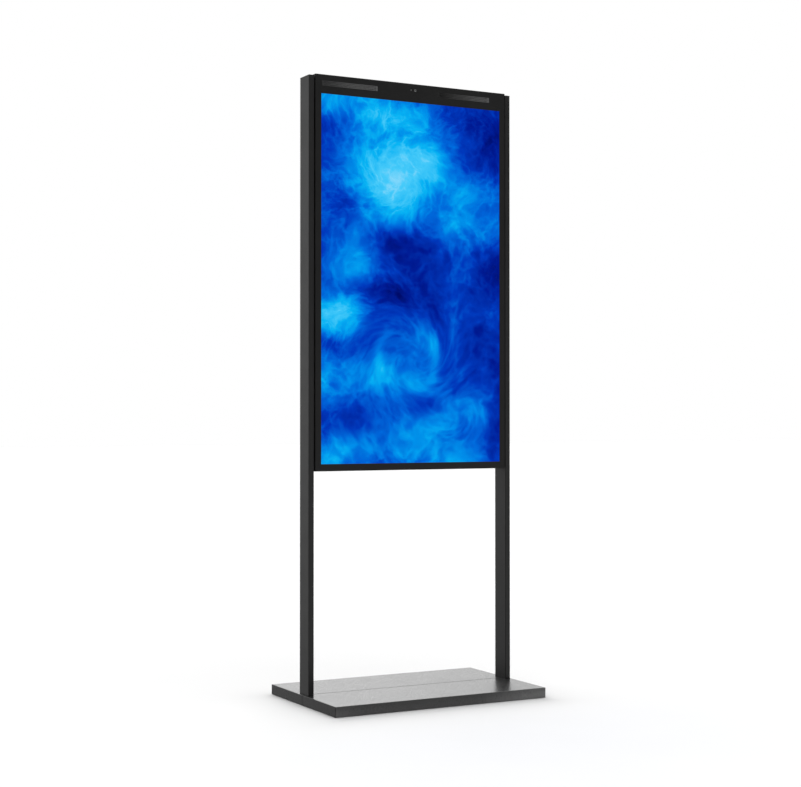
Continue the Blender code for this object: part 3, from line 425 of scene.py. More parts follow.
def level_edge(edge, index, value=None):
    """Whether an edge lies level along an axis, at value if it is given."""
    ends = [vert.co[index] for vert in edge.verts]
    return all(abs(end - (ends[0] if value is None else value)) < 1e-6 for end in ends)


def along(axis):
    """Picks the edges that run along an axis."""
    return lambda edge: all(level_edge(edge, index) for index in range(3) if "XYZ"[index] != axis)


def rounded(bm, radius, segments, keep):
    """Rounds the edges that keep picks."""
    if radius:
        picked = [edge for edge in bm.edges if keep(edge)]
        bmesh.ops.bevel(bm, geom=picked, offset=radius, segments=segments, profile=0.5, affect="EDGES")
    return bm


def block(spans, radius=0.0, segments=3, keep=lambda edge: True):
    """A box, with the edges rounded that keep picks."""
    bm = bmesh.new()
    size = [abs(ends[1] - ends[0]) for ends in spans]
    bmesh.ops.create_cube(bm, size=1.0, matrix=Matrix.Translation(middle_of(spans)) @ Matrix.Diagonal((*size, 1.0)))
    return rounded(bm, radius, segments, keep)


def skinned(rings, hollow=False):
    """A closed shape over rings of points, some of them a single point. A hollow one, such as a tube, has no ends."""
    bm = bmesh.new()
    rings = [[bm.verts.new(point) for point in ring] for ring in rings]
    sides = max(len(ring) for ring in rings)
    for near, far in zip(rings, rings[1:] + rings[:1] if hollow else rings[1:]):
        for n in range(sides):
            after = (n + 1) % sides
            corners = [near[n % len(near)], near[after % len(near)], far[after % len(far)], far[n % len(far)]]
            unique = list(dict.fromkeys(corners))
            if len(unique) > 2:
                bm.faces.new(unique)
    for ring in () if hollow else (rings[0], rings[-1]):
        if len(ring) > 1:
            bm.faces.new(ring)
    bmesh.ops.recalc_face_normals(bm, faces=bm.faces)
    return bm


def turned(profile, origin, axis="Y", sides=40, hollow=False):
    """A shape turned about an axis through origin, from (radius, distance along the axis) points."""
    first = AXES["X"] if axis != "X" else AXES["Y"]
    second = AXES[axis].cross(first)
    turns = [2 * math.pi * step / sides for step in range(sides)]
    rings = []
    for radius, height in profile:
        centre = Vector(origin) + AXES[axis] * height
        ring = [centre + radius * (first * math.cos(t) + second * math.sin(t)) for t in turns]
        rings.append(ring if radius else [centre])
    return skinned(rings, hollow)


def both_ends(end):
    """A profile that ends in the same way on both sides of its middle."""
    return [(radius, -at) for radius, at in reversed(end)] + end


def drill(radius, reach, at, axis="Y", sides=32):
    """A round cutter that reaches as far on both sides of its place."""
    return turned([(radius, -reach), (radius, reach)], at, axis, sides)


def plate(outline, span, radius=0.0, axis="Y"):
    """An outline in the plane across the axis, drawn out along span, with its rims rounded."""
    low, high = sorted(span)
    index = "XYZ".index(axis)
    bm = bmesh.new()
    face = bm.faces.new([bm.verts.new((*spot[:index], low, *spot[index:])) for spot in outline])
    moved = [v for v in bmesh.ops.extrude_face_region(bm, geom=[face])["geom"] if isinstance(v, bmesh.types.BMVert)]
    bmesh.ops.translate(bm, verts=moved, vec=AXES[axis] * (high - low))
    bmesh.ops.recalc_face_normals(bm, faces=bm.faces)
    return rounded(bm, radius, 2, lambda edge: level_edge(edge, index))


def rounded_outline(first, second, radius, steps=6):
    """A rectangle's outline with rounded corners, from its two spans."""
    points = []
    for quarter, (right, top) in enumerate(((1, 1), (0, 1), (0, 0), (1, 0))):
        centre_a = first[right] + (-radius if right else radius)
        centre_b = second[top] + (-radius if top else radius)
        for step in range(steps + 1):
            turn = (quarter + step / steps) * math.pi / 2
            points.append((centre_a + radius * math.cos(turn), centre_b + radius * math.sin(turn)))
    return points


def rounded_slot(wide, tall, through, axis="Y"):
    half = min(wide[1] - wide[0], tall[1] - tall[0]) / 2
    return plate(rounded_outline(wide, tall, half * 0.96), through, axis=axis)


def hexagon(x, z, radius):
    turns = [math.pi / 3 * step for step in range(6)]
    return [(x + radius * math.cos(turn), z + radius * math.sin(turn)) for turn in turns]


def object_of(name, *shapes):
    """One object from several bmeshes."""
    mesh = bpy.data.meshes.new(name)
    merged = bmesh.new()
    for shape in shapes:
        part = bpy.data.meshes.new("part")
        shape.to_mesh(part)
        shape.free()
        merged.from_mesh(part)
        bpy.data.meshes.remove(part)
    merged.to_mesh(mesh)
    merged.free()
    made = bpy.data.objects.new(name, mesh)
    bpy.context.scene.collection.objects.link(made)
    return made


def shape_of(obj):
    """The object's shape as a bmesh. The object is removed."""
    bm = bmesh.new()
    bm.from_mesh(obj.data)
    bpy.data.meshes.remove(obj.data)
    return bm


def cut(obj, *shapes):
    """Cuts the shapes out of the object."""
    cutter = object_of(obj.name + "_cutter", *shapes)
    step = obj.modifiers.new("cut", "BOOLEAN")
    step.operation = "DIFFERENCE"
    step.solver = "EXACT"
    step.object = cutter
    whole = obj.data
    depsgraph = bpy.context.evaluated_depsgraph_get()
    obj.data = bpy.data.meshes.new_from_object(obj.evaluated_get(depsgraph))
    obj.modifiers.clear()
    for mesh in (whole, cutter.data):
        bpy.data.meshes.remove(mesh)
    return obj


def folded(name, spans, sheet, radius, *openings):
    """A box of folded sheet with rounded edges. Each opening is an axis' index and an end of its span, 0 or 1."""
    def closed(edge):
        return not any(level_edge(edge, index, spans[index][end]) for index, end in openings)

    room = [list(span) for span in grown(spans, -sheet)]
    for index, end in openings:
        room[index][end] = spans[index][end] + (OVERRUN if end else -OVERRUN)
    return cut(object_of(name, block(spans, radius, 4, closed)), block(room))


def soften(obj, width, limit, segments=2):
    """Rounds the edges that are sharper than limit degrees, and evens out the shading."""
    if width:
        step = obj.modifiers.new("edges", "BEVEL")
        step.width = width
        step.segments = segments
        step.limit_method = "ANGLE"
        step.angle_limit = math.radians(limit)
        step.use_clamp_overlap = True
    normals = obj.modifiers.new("normals", "WEIGHTED_NORMAL")
    normals.keep_sharp = True
    normals.weight = 60


def piece(obj, skin, body=STATIC, replaces=None, width=0.0, limit=40, slot=None):
    """Gives a new piece its skin, edges and body, and hides the CAD node that it stands for. slot is not used."""
    obj.data.materials.clear()
    obj.data.materials.append(skin)
    if not width:
        obj.data.set_sharp_from_angle(angle=math.radians(limit))
    obj.data.shade_smooth()
    soften(obj, width, limit)
    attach(obj, body)
    if replaces:
        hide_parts(replaces)


def make(name, skin, *shapes, **finish):
    piece(object_of(name, *shapes), skin, **finish)


def dress(node, skin, width=0.0004, segments=2):
    """Gives a CAD node a skin and rounded edges. Its own mesh stays as packed."""
    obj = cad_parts[node]
    if not obj.material_slots:
        obj.data.materials.append(skin)
    for place in obj.material_slots:
        place.material = skin
    obj.modifiers.new("weld", "WELD").merge_threshold = 0.00001
    soften(obj, width, 35, segments)


# Uprights and base

def bolt_heights(side):
    return [middle_of(spans_of(f"side_bracket_{side}_{level}")).z for level in LEVELS]


def upright(side, inner_end):
    """The tube, with holes for the side bolts, and for the cable in the left one."""
    node = f"upright_{side}"
    spans = spans_of(node)
    tube = object_of(f"{node}_tube", block(spans, 0.0016, 4, along("Z")))
    cut(tube, block(grown(spans, (-UPRIGHT_WALL, -UPRIGHT_WALL, OVERRUN)), 0.0008, 2, along("Z")))
    holes = [(0.0, z, BOLT_HOLE) for z in bolt_heights(side)]
    if side == "left":
        holes += [CABLE_ENTRY, CABLE_EXIT]
    cut(tube, *(drill(radius, OVERRUN, (spans[0][inner_end], y, z), "X") for y, z, radius in holes))
    piece(tube, upright_coat, replaces=node, width=0.00025)


def base_cover(end, seam_end):
    """Half of the folded cover, rounded except at the seam and the floor."""
    node = f"base_cover_{end}"
    spans = spans_of(node)
    shell = folded(f"{node}_shell", spans, BASE_SHEET, 0.002, (1, seam_end), (2, 0))
    top = around(spans[2][1], 0.012)
    feet = [spans_of(f"upright_{side}") for side in SIDES]
    cut(shell, *(block(grown((foot[0], foot[1], top), (CLEARANCE, CLEARANCE, 0.0))) for foot in feet))
    if end == "rear":
        holes = []
        for name, wide in (("mains_inlet", 0.0282), ("power_switch_body", 0.0196)):
            middle = middle_of(spans_of(name))
            tall = (spans[2][0] - OVERRUN, middle.z + SOCKET_RISE)
            holes.append(block((around(middle.x, wide), around(spans[1][1], 2 * OVERRUN), tall)))
        cut(shell, *holes)
    piece(shell, base_coat, replaces=node, width=0.0003)


for side, inner_end in (("left", 1), ("right", 0)):
    upright(side, inner_end)
    dress(f"upright_cap_{side}", upright_coat, 0.0005)
    dress(f"foot_bracket_{side}", mild_steel, 0.0008)
    for end in ("front", "rear"):
        dress(f"foot_bolt_{side}_{end}", zinc_plate)
    for level in LEVELS:
        dress(f"side_bracket_{side}_{level}", mild_steel)
        dress(f"side_bolt_{side}_{level}", zinc_plate)
base_cover("front", 1)
base_cover("rear", 0)
dress("base_plate", mild_steel, 0.0008)
for number in range(1, 5):
    node = f"base_pad_{number}"
    spans = spans_of(node)
    x, y, _ = middle_of(spans)
    rim = (spans[0][1] - spans[0][0]) / 2
    profile = [(0.0, 0.0), (rim - 0.006, 0.0), (rim - 0.0055, 0.0004), (rim - 0.0045, 0.0004), (rim - 0.004, 0.0),
               (rim - 0.0006, 0.0), (rim, 0.0006), (rim, 0.0024), (rim - 0.0006, 0.003), (0.0, 0.003)]
    make(f"{node}_rubber", rubber, turned(profile, (x, y, spans[2][0]), "Z", 64), replaces=node, limit=35)


# Display front

panel = spans_of("lcd_panel")
glass = spans_of("touch_glass")
face_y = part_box("front_frame")[0].y
camera_spot = middle_of(spans_of("camera_window"))
sensor_spot = middle_of(spans_of("light_sensor"))
GRILLE_HOLE = 0.00165  # radius
GRILLE_PITCH = 0.005  # along a row of holes
GRILLE_ROW = 0.0048  # from one row to the next
CAMERA_HOLE = 0.004  # radius
SENSOR_HOLE = 0.003  # radius


def front_bezel():
    """The folded front, with openings for the screen, the grilles, the camera and the light sensor."""
    bezel = folded("front_bezel", spans_of("front_frame"), SHEET, 0.0013, (1, 1))
    through = around(face_y, 2 * OVERRUN)
    wide, _, tall = grown(panel, -PANEL_MARGIN)
    holes = [block((wide, through, tall))]
    for side in SIDES:
        wide, _, tall = grown(spans_of(f"speaker_grille_{side}"), CLEARANCE)
        holes.append(block((wide, through, tall), 0.0006, 2, along("Y")))
    for spot, radius in ((camera_spot, CAMERA_HOLE), (sensor_spot, SENSOR_HOLE)):
        holes.append(drill(radius, OVERRUN, (spot.x, face_y, spot.z), sides=48))
    piece(cut(bezel, *holes), display_coat, replaces="front_frame", width=0.0002)


def perforated_strip(side):
    """A strip with three staggered rows of round holes."""
    node = f"speaker_grille_{side}"
    spans = spans_of(node)
    middle = middle_of(spans)
    strip = object_of(f"{node}_strip", block(spans, 0.0006, 2, along("Y")))
    holes = []
    for row in (-1, 0, 1):
        count = int((spans[0][1] - spans[0][0] - 0.006) / GRILLE_PITCH) - (row != 0)
        for x in spread(count, GRILLE_PITCH, middle.x):
            holes.append(drill(GRILLE_HOLE, 0.004, (x, middle.y, middle.z + row * GRILLE_ROW), sides=12))
    piece(cut(strip, *holes), grille_coat_and_sheen[side], replaces=node, limit=30)


front_bezel()
for side in SIDES:
    perforated_strip(side)
    dress(f"speaker_{side}", black_plastic, 0.0006)

make("touch_pane", touch_glass, block(glass, 0.0006), replaces="touch_glass", limit=60)
make("lcd_case", panel_case, block(panel, 0.001), replaces="lcd_panel", limit=60)
lit_y = (panel[1][0] - 0.0002, panel[1][0] - 0.00008)
make("lcd_picture", screen_picture, block((glass[0], lit_y, glass[2])))

ring = [(0.0022, 0.0016), (0.0026, 0.0004), (0.0034, 0.0), (0.00365, 0.0002), (0.0037, 0.0005), (0.0037, 0.0016)]
make("camera_lens_ring", lens_ring, turned(ring, (camera_spot.x, face_y + 0.0003, camera_spot.z), "Y", 48, True),
     replaces="camera_window", limit=50)
dome = [(0.0, 0.0006), (0.001, 0.0007), (0.0018, 0.001), (0.0023, 0.0014), (0.0023, 0.0016), (0.0, 0.0016)]
make("camera_lens", lens_glass, turned(dome, (camera_spot.x, face_y + 0.0001, camera_spot.z)), limit=50)
eye = [(0.0, 0.0), (0.0014, 0.0001), (0.0023, 0.0004), (0.0027, 0.001), (0.0027, 0.004), (0.0, 0.004)]
make("light_sensor_eye", sensor_lens, turned(eye, (sensor_spot.x, face_y + 0.0003, sensor_spot.z)),
     replaces="light_sensor", limit=50)
dress("camera_module", board_green, 0.0002)


# Display back

tray = spans_of("rear_housing")
door = spans_of("service_door")
door_back = door[1][1]


def screw_heads(places, radius, height, sign=1):
    """Button heads with a hexagon socket, each standing on its place and facing along Y."""
    outward = AXES["Y"] * sign
    second = outward.cross(AXES["X"])
    rings = (  # share of the radius, share of the height, whether it is the socket
        (1.0, 0.0, False), (1.0, 0.3, False), (0.9, 0.7, False), (0.66, 0.97, False),
        (0.52, 1.0, False), (0.44, 0.98, True), (0.44, 0.35, True),
    )
    turns = [2 * math.pi * step / 24 for step in range(24)]

    def loop(place, reach, rise, socket):
        points = []
        for turn in turns:
            out = radius * reach
            if socket:
                out /= math.cos((turn % (math.pi / 3)) - math.pi / 6)
                out *= math.cos(math.pi / 6)
            sideways = AXES["X"] * math.cos(turn) + second * math.sin(turn)
            points.append(Vector(place) + outward * (height * rise) + sideways * out)
        return points

    return [skinned([loop(place, *ring) for ring in rings]) for place in places]


def screws(name, places, radius, height, body=STATIC):
    make(name, zinc_plate, *screw_heads(places, radius, height), body=body, limit=35)


def rear_tray():
    """The folded rear tray, with its service opening, vents, intake slots and bolt holes."""
    made = folded("rear_tray", tray, SHEET, 0.0013, (1, 0))
    back = tray[1][1]
    through = around(back, 4 * SHEET)
    wide, _, tall = grown(door, -DOOR_LAP)
    holes = [block((wide, through, tall), 0.004, 4, along("Y"))]
    for side in SIDES:
        fan = middle_of(spans_of(f"fan_frame_{side}"))
        holes += [rounded_slot(around(fan.x, VENT_SLOT[0]), around(z, VENT_SLOT[1]), through)
                  for z in spread(VENT_ROWS, VENT_PITCH, fan.z)]
    floor_z = around(tray[2][0], 4 * SHEET)
    for x in spread(INTAKE_COLUMNS, INTAKE_PITCH):
        holes += [rounded_slot(around(x, INTAKE_SLOT[0]), around(y, INTAKE_SLOT[1]), floor_z, "Z")
                  for y in INTAKE_ROWS]
    for x in tray[0]:
        holes += [drill(BOLT_HOLE, 3 * SHEET, (x, 0.0, z), "X") for z in bolt_heights("left")]
    y, z, radius = CABLE_EXIT
    holes.append(drill(radius, 3 * SHEET, (tray[0][0], y, z), "X"))
    piece(cut(made, *holes), display_coat, replaces="rear_housing", width=0.0002)

    wide, _, tall = grown(tray, -SCREW_INSET)
    places = [(x, back, z) for z in tall for x in (-0.3, -0.1, 0.1, 0.3)]
    places += [(x, back, z) for x in wide for z in (1.08, 1.4, 1.72)]
    screws("rear_tray_screws", places, 0.0036, 0.0018)


def door_panel():
    """The door: a flat sheet with rounded corners, and the rim that stiffens it."""
    front = door_back - SHEET
    sheet = object_of("door_sheet", plate(rounded_outline(door[0], door[2], 0.006), (front, door_back), 0.0005))
    locks = [middle_of(spans_of(f"lock_body_{level}")) for level in LEVELS]
    cut(sheet, *(drill(LOCK_HOLE, 3 * SHEET, (at.x, door_back, at.z), sides=40) for at in locks))
    piece(sheet, display_coat, DOOR, "service_door", limit=35)
    outside = grown(door, -DOOR_LAP - RIM_GAP)
    rim = object_of("door_rim", block((outside[0], (door[1][0], front), outside[2]), 0.003, 3, along("Y")))
    inner = grown(outside, -SHEET)
    cut(rim, block((inner[0], (door[1][0] - OVERRUN, front + OVERRUN), inner[2]), 0.0015, 3, along("Y")))
    piece(rim, display_coat, DOOR, width=0.0002)


def knuckle(x, y, z, length):
    half, rim, bore = length / 2, 0.004, 0.002
    end = [(rim, half - 0.0004), (rim - 0.0004, half), (bore, half)]
    return turned(both_ends(end), (x, y, z), "Z", hollow=True)


def hinge(level):
    """A butt hinge: two leaves with knuckles, a pin with domed ends, and the screws."""
    name = f"hinge_{level}"
    fixed, moving, pin = (spans_of(f"{name}_{part}") for part in ("fixed_leaf", "door_leaf", "pin"))
    x, y, z = middle_of(pin)
    length = moving[2][1] - moving[2][0]
    seat = (fixed[1][0], fixed[1][0] + SHEET)
    held = [(fixed[0][0] + 0.009, seat[1], z + step) for step in (-0.022, 0.0, 0.022)]
    leaf = object_of(f"{name}_fixed_leaf_sheet",
                     plate(rounded_outline((fixed[0][0], x + 0.0005), fixed[2], 0.003), seat, 0.0003))
    cut(leaf, block((around(x, 0.01), around(seat[0], 0.01), around(z, length + 2 * CLEARANCE))))
    piece(leaf, display_coat, replaces=f"{name}_fixed_leaf", limit=35)
    ends = [z + sign * (fixed[2][1] - fixed[2][0] - length) / 2 for sign in (-1, 1)]
    barrels = [knuckle(x, y, end, length - CLEARANCE) for end in ends]
    make(f"{name}_fixed_knuckles", display_coat, *barrels, limit=35)

    seat = (door_back + CLEARANCE, door_back + CLEARANCE + SHEET)
    sheet = plate(rounded_outline((x - 0.0005, moving[0][1]), moving[2], 0.003), seat, 0.0003)
    make(f"{name}_door_leaf_sheet", display_coat, sheet, knuckle(x, y, z, length), body=DOOR,
         replaces=f"{name}_door_leaf", limit=35)

    half = (pin[2][1] - pin[2][0]) / 2
    end = [(0.0019, half), (0.0032, half), (0.0028, half + 0.0004), (0.0014, half + 0.0009), (0.0, half + 0.001)]
    make(f"{name}_pin_rod", zinc_plate, turned(both_ends(end), (x, y, z), "Z", 32), replaces=f"{name}_pin", limit=35)
    screws(f"{name}_fixed_screws", held, 0.0034, 0.001)
    held = [(x + 0.02, seat[1], z + step) for step in (-0.005, 0.005)]
    screws(f"{name}_door_screws", held, 0.003, 0.001, DOOR)


def door_lock(level):
    """A quarter-turn lock: the flanged barrel with its nut, and the plug that carries the cam."""
    wide, (front, back), tall = spans_of(f"lock_body_{level}")
    x, z = sum(wide) / 2, sum(tall) / 2
    rim, barrel, bore = (wide[1] - wide[0]) / 2, 0.0077, 0.0046
    seat = door_back + CLEARANCE
    profile = [(bore, front), (barrel - 0.0004, front), (barrel, front + 0.0004), (barrel, seat), (rim, seat),
               (rim, back - 0.0011), (rim - 0.0011, back), (bore + 0.0014, back), (bore + 0.0008, back - 0.0004),
               (bore, back - 0.0004)]
    shell = turned(profile, (x, 0.0, z), sides=56, hollow=True)
    nut = plate(hexagon(x, z, 0.0106), (front + 0.0008, door_back - SHEET - CLEARANCE), 0.0004)
    make(f"lock_{level}_barrel", zinc_plate, shell, nut, body=DOOR, replaces=f"lock_body_{level}", limit=30)

    wide, (cam_front, plug_back), tall = spans_of(f"lock_cam_{level}")
    cam_back = cam_front + 0.0022
    plug = [(0.0, cam_back - 0.0005), (0.0045, cam_back - 0.0005), (0.0045, plug_back - 0.0004),
            (0.0041, plug_back), (0.0, plug_back)]
    core = object_of(f"lock_{level}_plug", turned(plug, (x, 0.0, z), sides=48))
    keyway = (around(x, 0.001), (plug_back - 0.0025, plug_back + OVERRUN), around(z, 0.006))
    cut(core, block(keyway, 0.0003, 2, along("Y")))
    piece(core, zinc_plate, f"{level}_lock_cam", limit=30)
    bar = plate(rounded_outline(wide, tall, 0.0062), (cam_front, cam_back), 0.0004)
    make(f"lock_{level}_cam_bar", zinc_plate, bar, *screw_heads([(x, cam_front, z)], 0.0044, 0.0024, -1),
         body=f"{level}_lock_cam", replaces=f"lock_cam_{level}", limit=30)


rear_tray()
door_panel()
for level in LEVELS:
    hinge(level)
    door_lock(level)


# Fans

BLADE_SWEEP = math.radians(30)  # from front to back
BLADE_LEAN = math.radians(8)  # from hub to tip
BLADE_THICK = 0.0012


def fan_frame(side):
    """Two square flanges round a thin duct, with four struts that hold the motor."""
    spans = spans_of(f"fan_frame_{side}")
    x, _, z = middle_of(spans)
    front, back = spans[1]
    bore, lip, corner = 0.038, 0.004, 0.0355
    shapes = []
    for near in (front, back - lip):
        far = back if near > front else front + lip
        flange = object_of("flange", block((spans[0], (near, far), spans[2]), 0.0045, 4, along("Y")))
        y = near + lip / 2
        corners = [(x + a * corner, y, z + b * corner) for a in (-1, 1) for b in (-1, 1)]
        cut(flange, drill(bore, lip, (x, y, z), sides=72), *(drill(0.0022, lip, at, sides=20) for at in corners))
        shapes.append(shape_of(flange))
    duct = [(bore, front), (0.0396, front), (0.0396, back), (bore, back)]
    shapes.append(turned(duct, (x, 0.0, z), sides=72, hollow=True))
    strut_y = (front, front + 0.003)
    for wide, tall in ((0.077, 0.004), (0.004, 0.077)):
        shapes.append(block((around(x, wide), strut_y, around(z, tall)), 0.0008, 2))
    mount = [(0.0, front), (0.0152, front), (0.016, front + 0.0008), (0.016, strut_y[1]), (0.0, strut_y[1])]
    shapes.append(turned(mount, (x, 0.0, z), sides=48))
    make(f"fan_{side}_frame", black_plastic, *shapes, replaces=f"fan_frame_{side}", limit=35)


def fan_rotor(side):
    """A domed hub with swept blades that twist as they go from front to back."""
    _, (front, back), tall = spans_of(f"fan_rotor_{side}")
    x, z = sum(spans_of(f"fan_frame_{side}")[0]) / 2, sum(tall) / 2
    hub, tip = 0.016, 0.0363
    cap = [(0.0, front), (hub - 0.0006, front), (hub, front + 0.0006), (hub, back - 0.0018),
           (hub - 0.0006, back - 0.0006), (hub - 0.002, back), (0.0, back)]
    shapes = [turned(cap, (x, 0.0, z), sides=56)]
    blades, rows, columns = 7, 8, 6

    def place(number, face, i, j):
        """A point of a blade: face is its side, i the step from front to back, and j the step from hub to tip."""
        share = i / rows
        out = hub - 0.0005 + (tip - hub + 0.0005) * j / columns
        thick = BLADE_THICK * (1.0 - 0.35 * j / columns) * (0.35 + 0.65 * math.sin(math.pi * share))
        lean = BLADE_LEAN * math.sin(math.pi * j / columns * 0.5)
        angle = 2 * math.pi * (number + 0.12) / blades + share * BLADE_SWEEP + lean + face * thick / out
        y = front + 0.001 + (back - front - 0.002) * share
        return (x + out * math.cos(angle), y, z + out * math.sin(angle))

    edge = ([(0, j) for j in range(columns)] + [(i, columns) for i in range(rows)]
            + [(rows, j) for j in range(columns, 0, -1)] + [(i, 0) for i in range(rows, 0, -1)])
    for number in range(blades):
        bm = bmesh.new()
        first, second = ([[bm.verts.new(place(number, face, i, j)) for j in range(columns + 1)]
                          for i in range(rows + 1)] for face in (-0.5, 0.5))
        for grid in (first, second):
            for near, far in zip(grid, grid[1:]):
                for j in range(columns):
                    bm.faces.new((near[j], near[j + 1], far[j + 1], far[j]))
        for (i, j), (k, m) in zip(edge, edge[1:] + edge[:1]):
            bm.faces.new((first[i][j], first[k][m], second[k][m], second[i][j]))
        bmesh.ops.recalc_face_normals(bm, faces=bm.faces)
        shapes.append(bm)
    make(f"fan_{side}_rotor", rocker_plastic, *shapes, body=f"{side}_fan_rotor", replaces=f"fan_rotor_{side}")


for side in SIDES:
    fan_frame(side)
    fan_rotor(side)


# Electronics

PLAYER_FINS = 15
HOLE_PITCH = (0.0072, 0.0063)  # of the holes in the supply's cover, along X and Z
HOLE_COUNT = (10, 24)
TERMINALS = 8
PIN_PITCH = 0.0025

dress("mounting_plate", mild_steel)


def media_player():
    """A flat case with cooling fins on its back and sockets in its underside."""
    x, y, z = spans_of("media_player")
    middle = sum(x) / 2
    case = object_of("player_case", block((x, y, z), 0.0015))
    pitch = (x[1] - x[0]) / (2 * PLAYER_FINS - 1)
    starts = [x[0] + (2 * groove + 1) * pitch for groove in range(PLAYER_FINS - 1)]
    tall, deep = (z[0] + 0.01, z[1] - 0.01), (y[1] - 0.006, y[1] + OVERRUN)
    cut(case, *(rounded_slot((start, start + pitch), tall, deep) for start in starts))
    sockets = (  # offset along X, width, depth
        (-0.072, 0.014, 0.012), (-0.048, 0.0132, 0.0056), (-0.029, 0.0132, 0.0056),
        (-0.005, 0.0152, 0.005), (0.018, 0.0152, 0.005), (0.042, 0.009, 0.0034),
    )
    row_y = y[0] + 0.013
    jack = (middle + 0.068, row_y, 0.0)
    into = (z[0] - OVERRUN, z[0] + 0.009)
    openings = [block((around(middle + at, wide), around(row_y, deep), into), 0.0006, 2, along("Z"))
                for at, wide, deep in sockets]
    openings.append(turned([(0.0036, into[0]), (0.0036, into[1])], jack, "Z", 32))
    cut(case, *openings)
    piece(case, player_case, replaces="media_player", width=0.0002)
    tall = (z[0] + 0.001, z[0] + 0.0088)
    cores = [block((around(middle + at, 0.72 * wide), around(row_y, 0.0014), tall), 0.0003, 2)
             for at, wide, _ in sockets]
    pin = [(0.0, tall[0]), (0.0009, z[0] + 0.0014), (0.0011, tall[1]), (0.0, tall[1])]
    make("player_socket_cores", black_plastic, *cores, turned(pin, jack, "Z", 20))
    corners = [(a, y[1], b) for a in (x[0] + 0.006, x[1] - 0.006) for b in (z[0] + 0.0052, z[1] - 0.0052)]
    screws("player_screws", corners, 0.0026, 0.0012)
    ears, held = [], []
    for sign, edge in ((-1, x[0]), (1, x[1])):
        for at in (z[0] + 0.04, z[1] - 0.04):
            wide = sorted((edge - sign * 0.001, edge + sign * 0.013))
            ears.append(plate(rounded_outline(wide, around(at, 0.016), 0.004), (y[0], y[0] + 0.002), 0.0004))
            held.append((edge + sign * 0.007, y[0] + 0.002, at))
    make("player_ears", player_case, *ears, limit=35)
    screws("player_ear_screws", held, 0.003, 0.0016)


def power_supply():
    """A perforated cover over a thin lip, with a strip of screw terminals at its lower end."""
    x, y, z = spans_of("power_supply")
    strip_top = z[0] + 0.022
    width = (x[0] + 0.004, x[1] - 0.004)
    cover = object_of("supply_cover", block((x, y, (strip_top, z[1])), 0.0012))
    cut(cover, block((width, (y[1] - 0.012, y[1] - 0.001), (strip_top + 0.004, z[1] - 0.004))))
    holes = []
    for row, at_z in enumerate(spread(HOLE_COUNT[1], HOLE_PITCH[1], (strip_top + z[1]) / 2)):
        shift = 0.25 * HOLE_PITCH[0] * (1 if row % 2 else -1)
        for at_x in spread(HOLE_COUNT[0], HOLE_PITCH[0], sum(x) / 2):
            holes.append(drill(0.0022, 0.004, (at_x + shift, y[1], at_z), sides=8))
    cut(cover, *holes)
    piece(cover, supply_case, replaces="power_supply", limit=30)
    seat = (y[0] + 0.0016, y[1] - 0.012)
    make("supply_lip", supply_case, block((x, (y[0], seat[0]), (z[0], strip_top + 0.001)), 0.0004, 2))
    strip = object_of("supply_terminals", block((width, seat, (z[0] + 0.003, strip_top)), 0.0005, 2))
    pitch = (x[1] - x[0] - 0.014) / TERMINALS
    spots = [x[0] + 0.007 + (cell + 0.5) * pitch for cell in range(TERMINALS)]
    deep, tall = (seat[1] - 0.007, seat[1] + OVERRUN), (z[0] + 0.002, strip_top - 0.004)
    cut(strip, *(block((around(at, pitch - 0.0014), deep, tall)) for at in spots))
    piece(strip, black_plastic, width=0.0002)
    screws("supply_terminal_screws", [(at, deep[0], z[0] + 0.01) for at in spots], 0.0034, 0.0022)


def chip(x, z, wide, tall, foot, thick):
    """A chip's case, with a row of legs on two sides."""
    shapes = [block((around(x, wide), (foot + 0.0003, foot + thick), around(z, tall)), 0.0002, 2)]
    legs = max(3, int(tall / 0.0016))
    for sign in (-1, 1):
        reach = sorted((x + sign * (wide / 2 - 0.0002), x + sign * (wide / 2 + 0.0012)))
        for leg in range(legs):
            at = z + (leg - (legs - 1) / 2) * tall / legs
            shapes.append(block((reach, (foot, foot + 0.0004), around(at, 0.0006))))
    return shapes


def small_parts(name, x, z, foot, number, seed):
    """Resistors and capacitors scattered over a board."""
    picker = random.Random(seed)
    shapes = []
    for _ in range(number):
        at_x = picker.uniform(x[0] + 0.004, x[1] - 0.004)
        at_z = picker.uniform(z[0] + 0.004, z[1] - 0.004)
        long, short = (0.002, 0.0012) if picker.random() < 0.6 else (0.0032, 0.0016)
        if picker.random() < 0.5:
            long, short = short, long
        shapes.append(block((around(at_x, long), (foot, foot + 0.0007), around(at_z, short)), 0.00015, 1))
    make(name, chip_black, *shapes)


def capacitor(x, z, foot, radius=0.0032, height=0.008):
    top, recess = foot + height, foot + height - 0.0002
    profile = [(0.0, foot), (radius, foot), (radius, top - 0.0006), (radius - 0.0006, top),
               (radius - 0.001, recess), (0.0, recess)]
    return turned(profile, (x, 0.0, z), sides=28)


def header(x, z, wide, tall, foot, top):
    """A plug-in connector: a shell open at the back, and its pins."""
    shell = object_of("shell", block((around(x, wide), (foot, top), around(z, tall)), 0.0003, 2))
    cut(shell, block((around(x, wide - 0.0016), (foot + 0.002, top + OVERRUN), around(z, tall - 0.0016))))
    rows = (-PIN_PITCH / 2, PIN_PITCH / 2) if tall > 0.008 else (0.0,)
    pins = [block((around(at, 0.0006), (foot + 0.001, top - 0.002), around(z + row, 0.0006)))
            for at in spread(max(2, int((wide - 0.003) / PIN_PITCH) + 1), PIN_PITCH, x) for row in rows]
    return shape_of(shell), pins


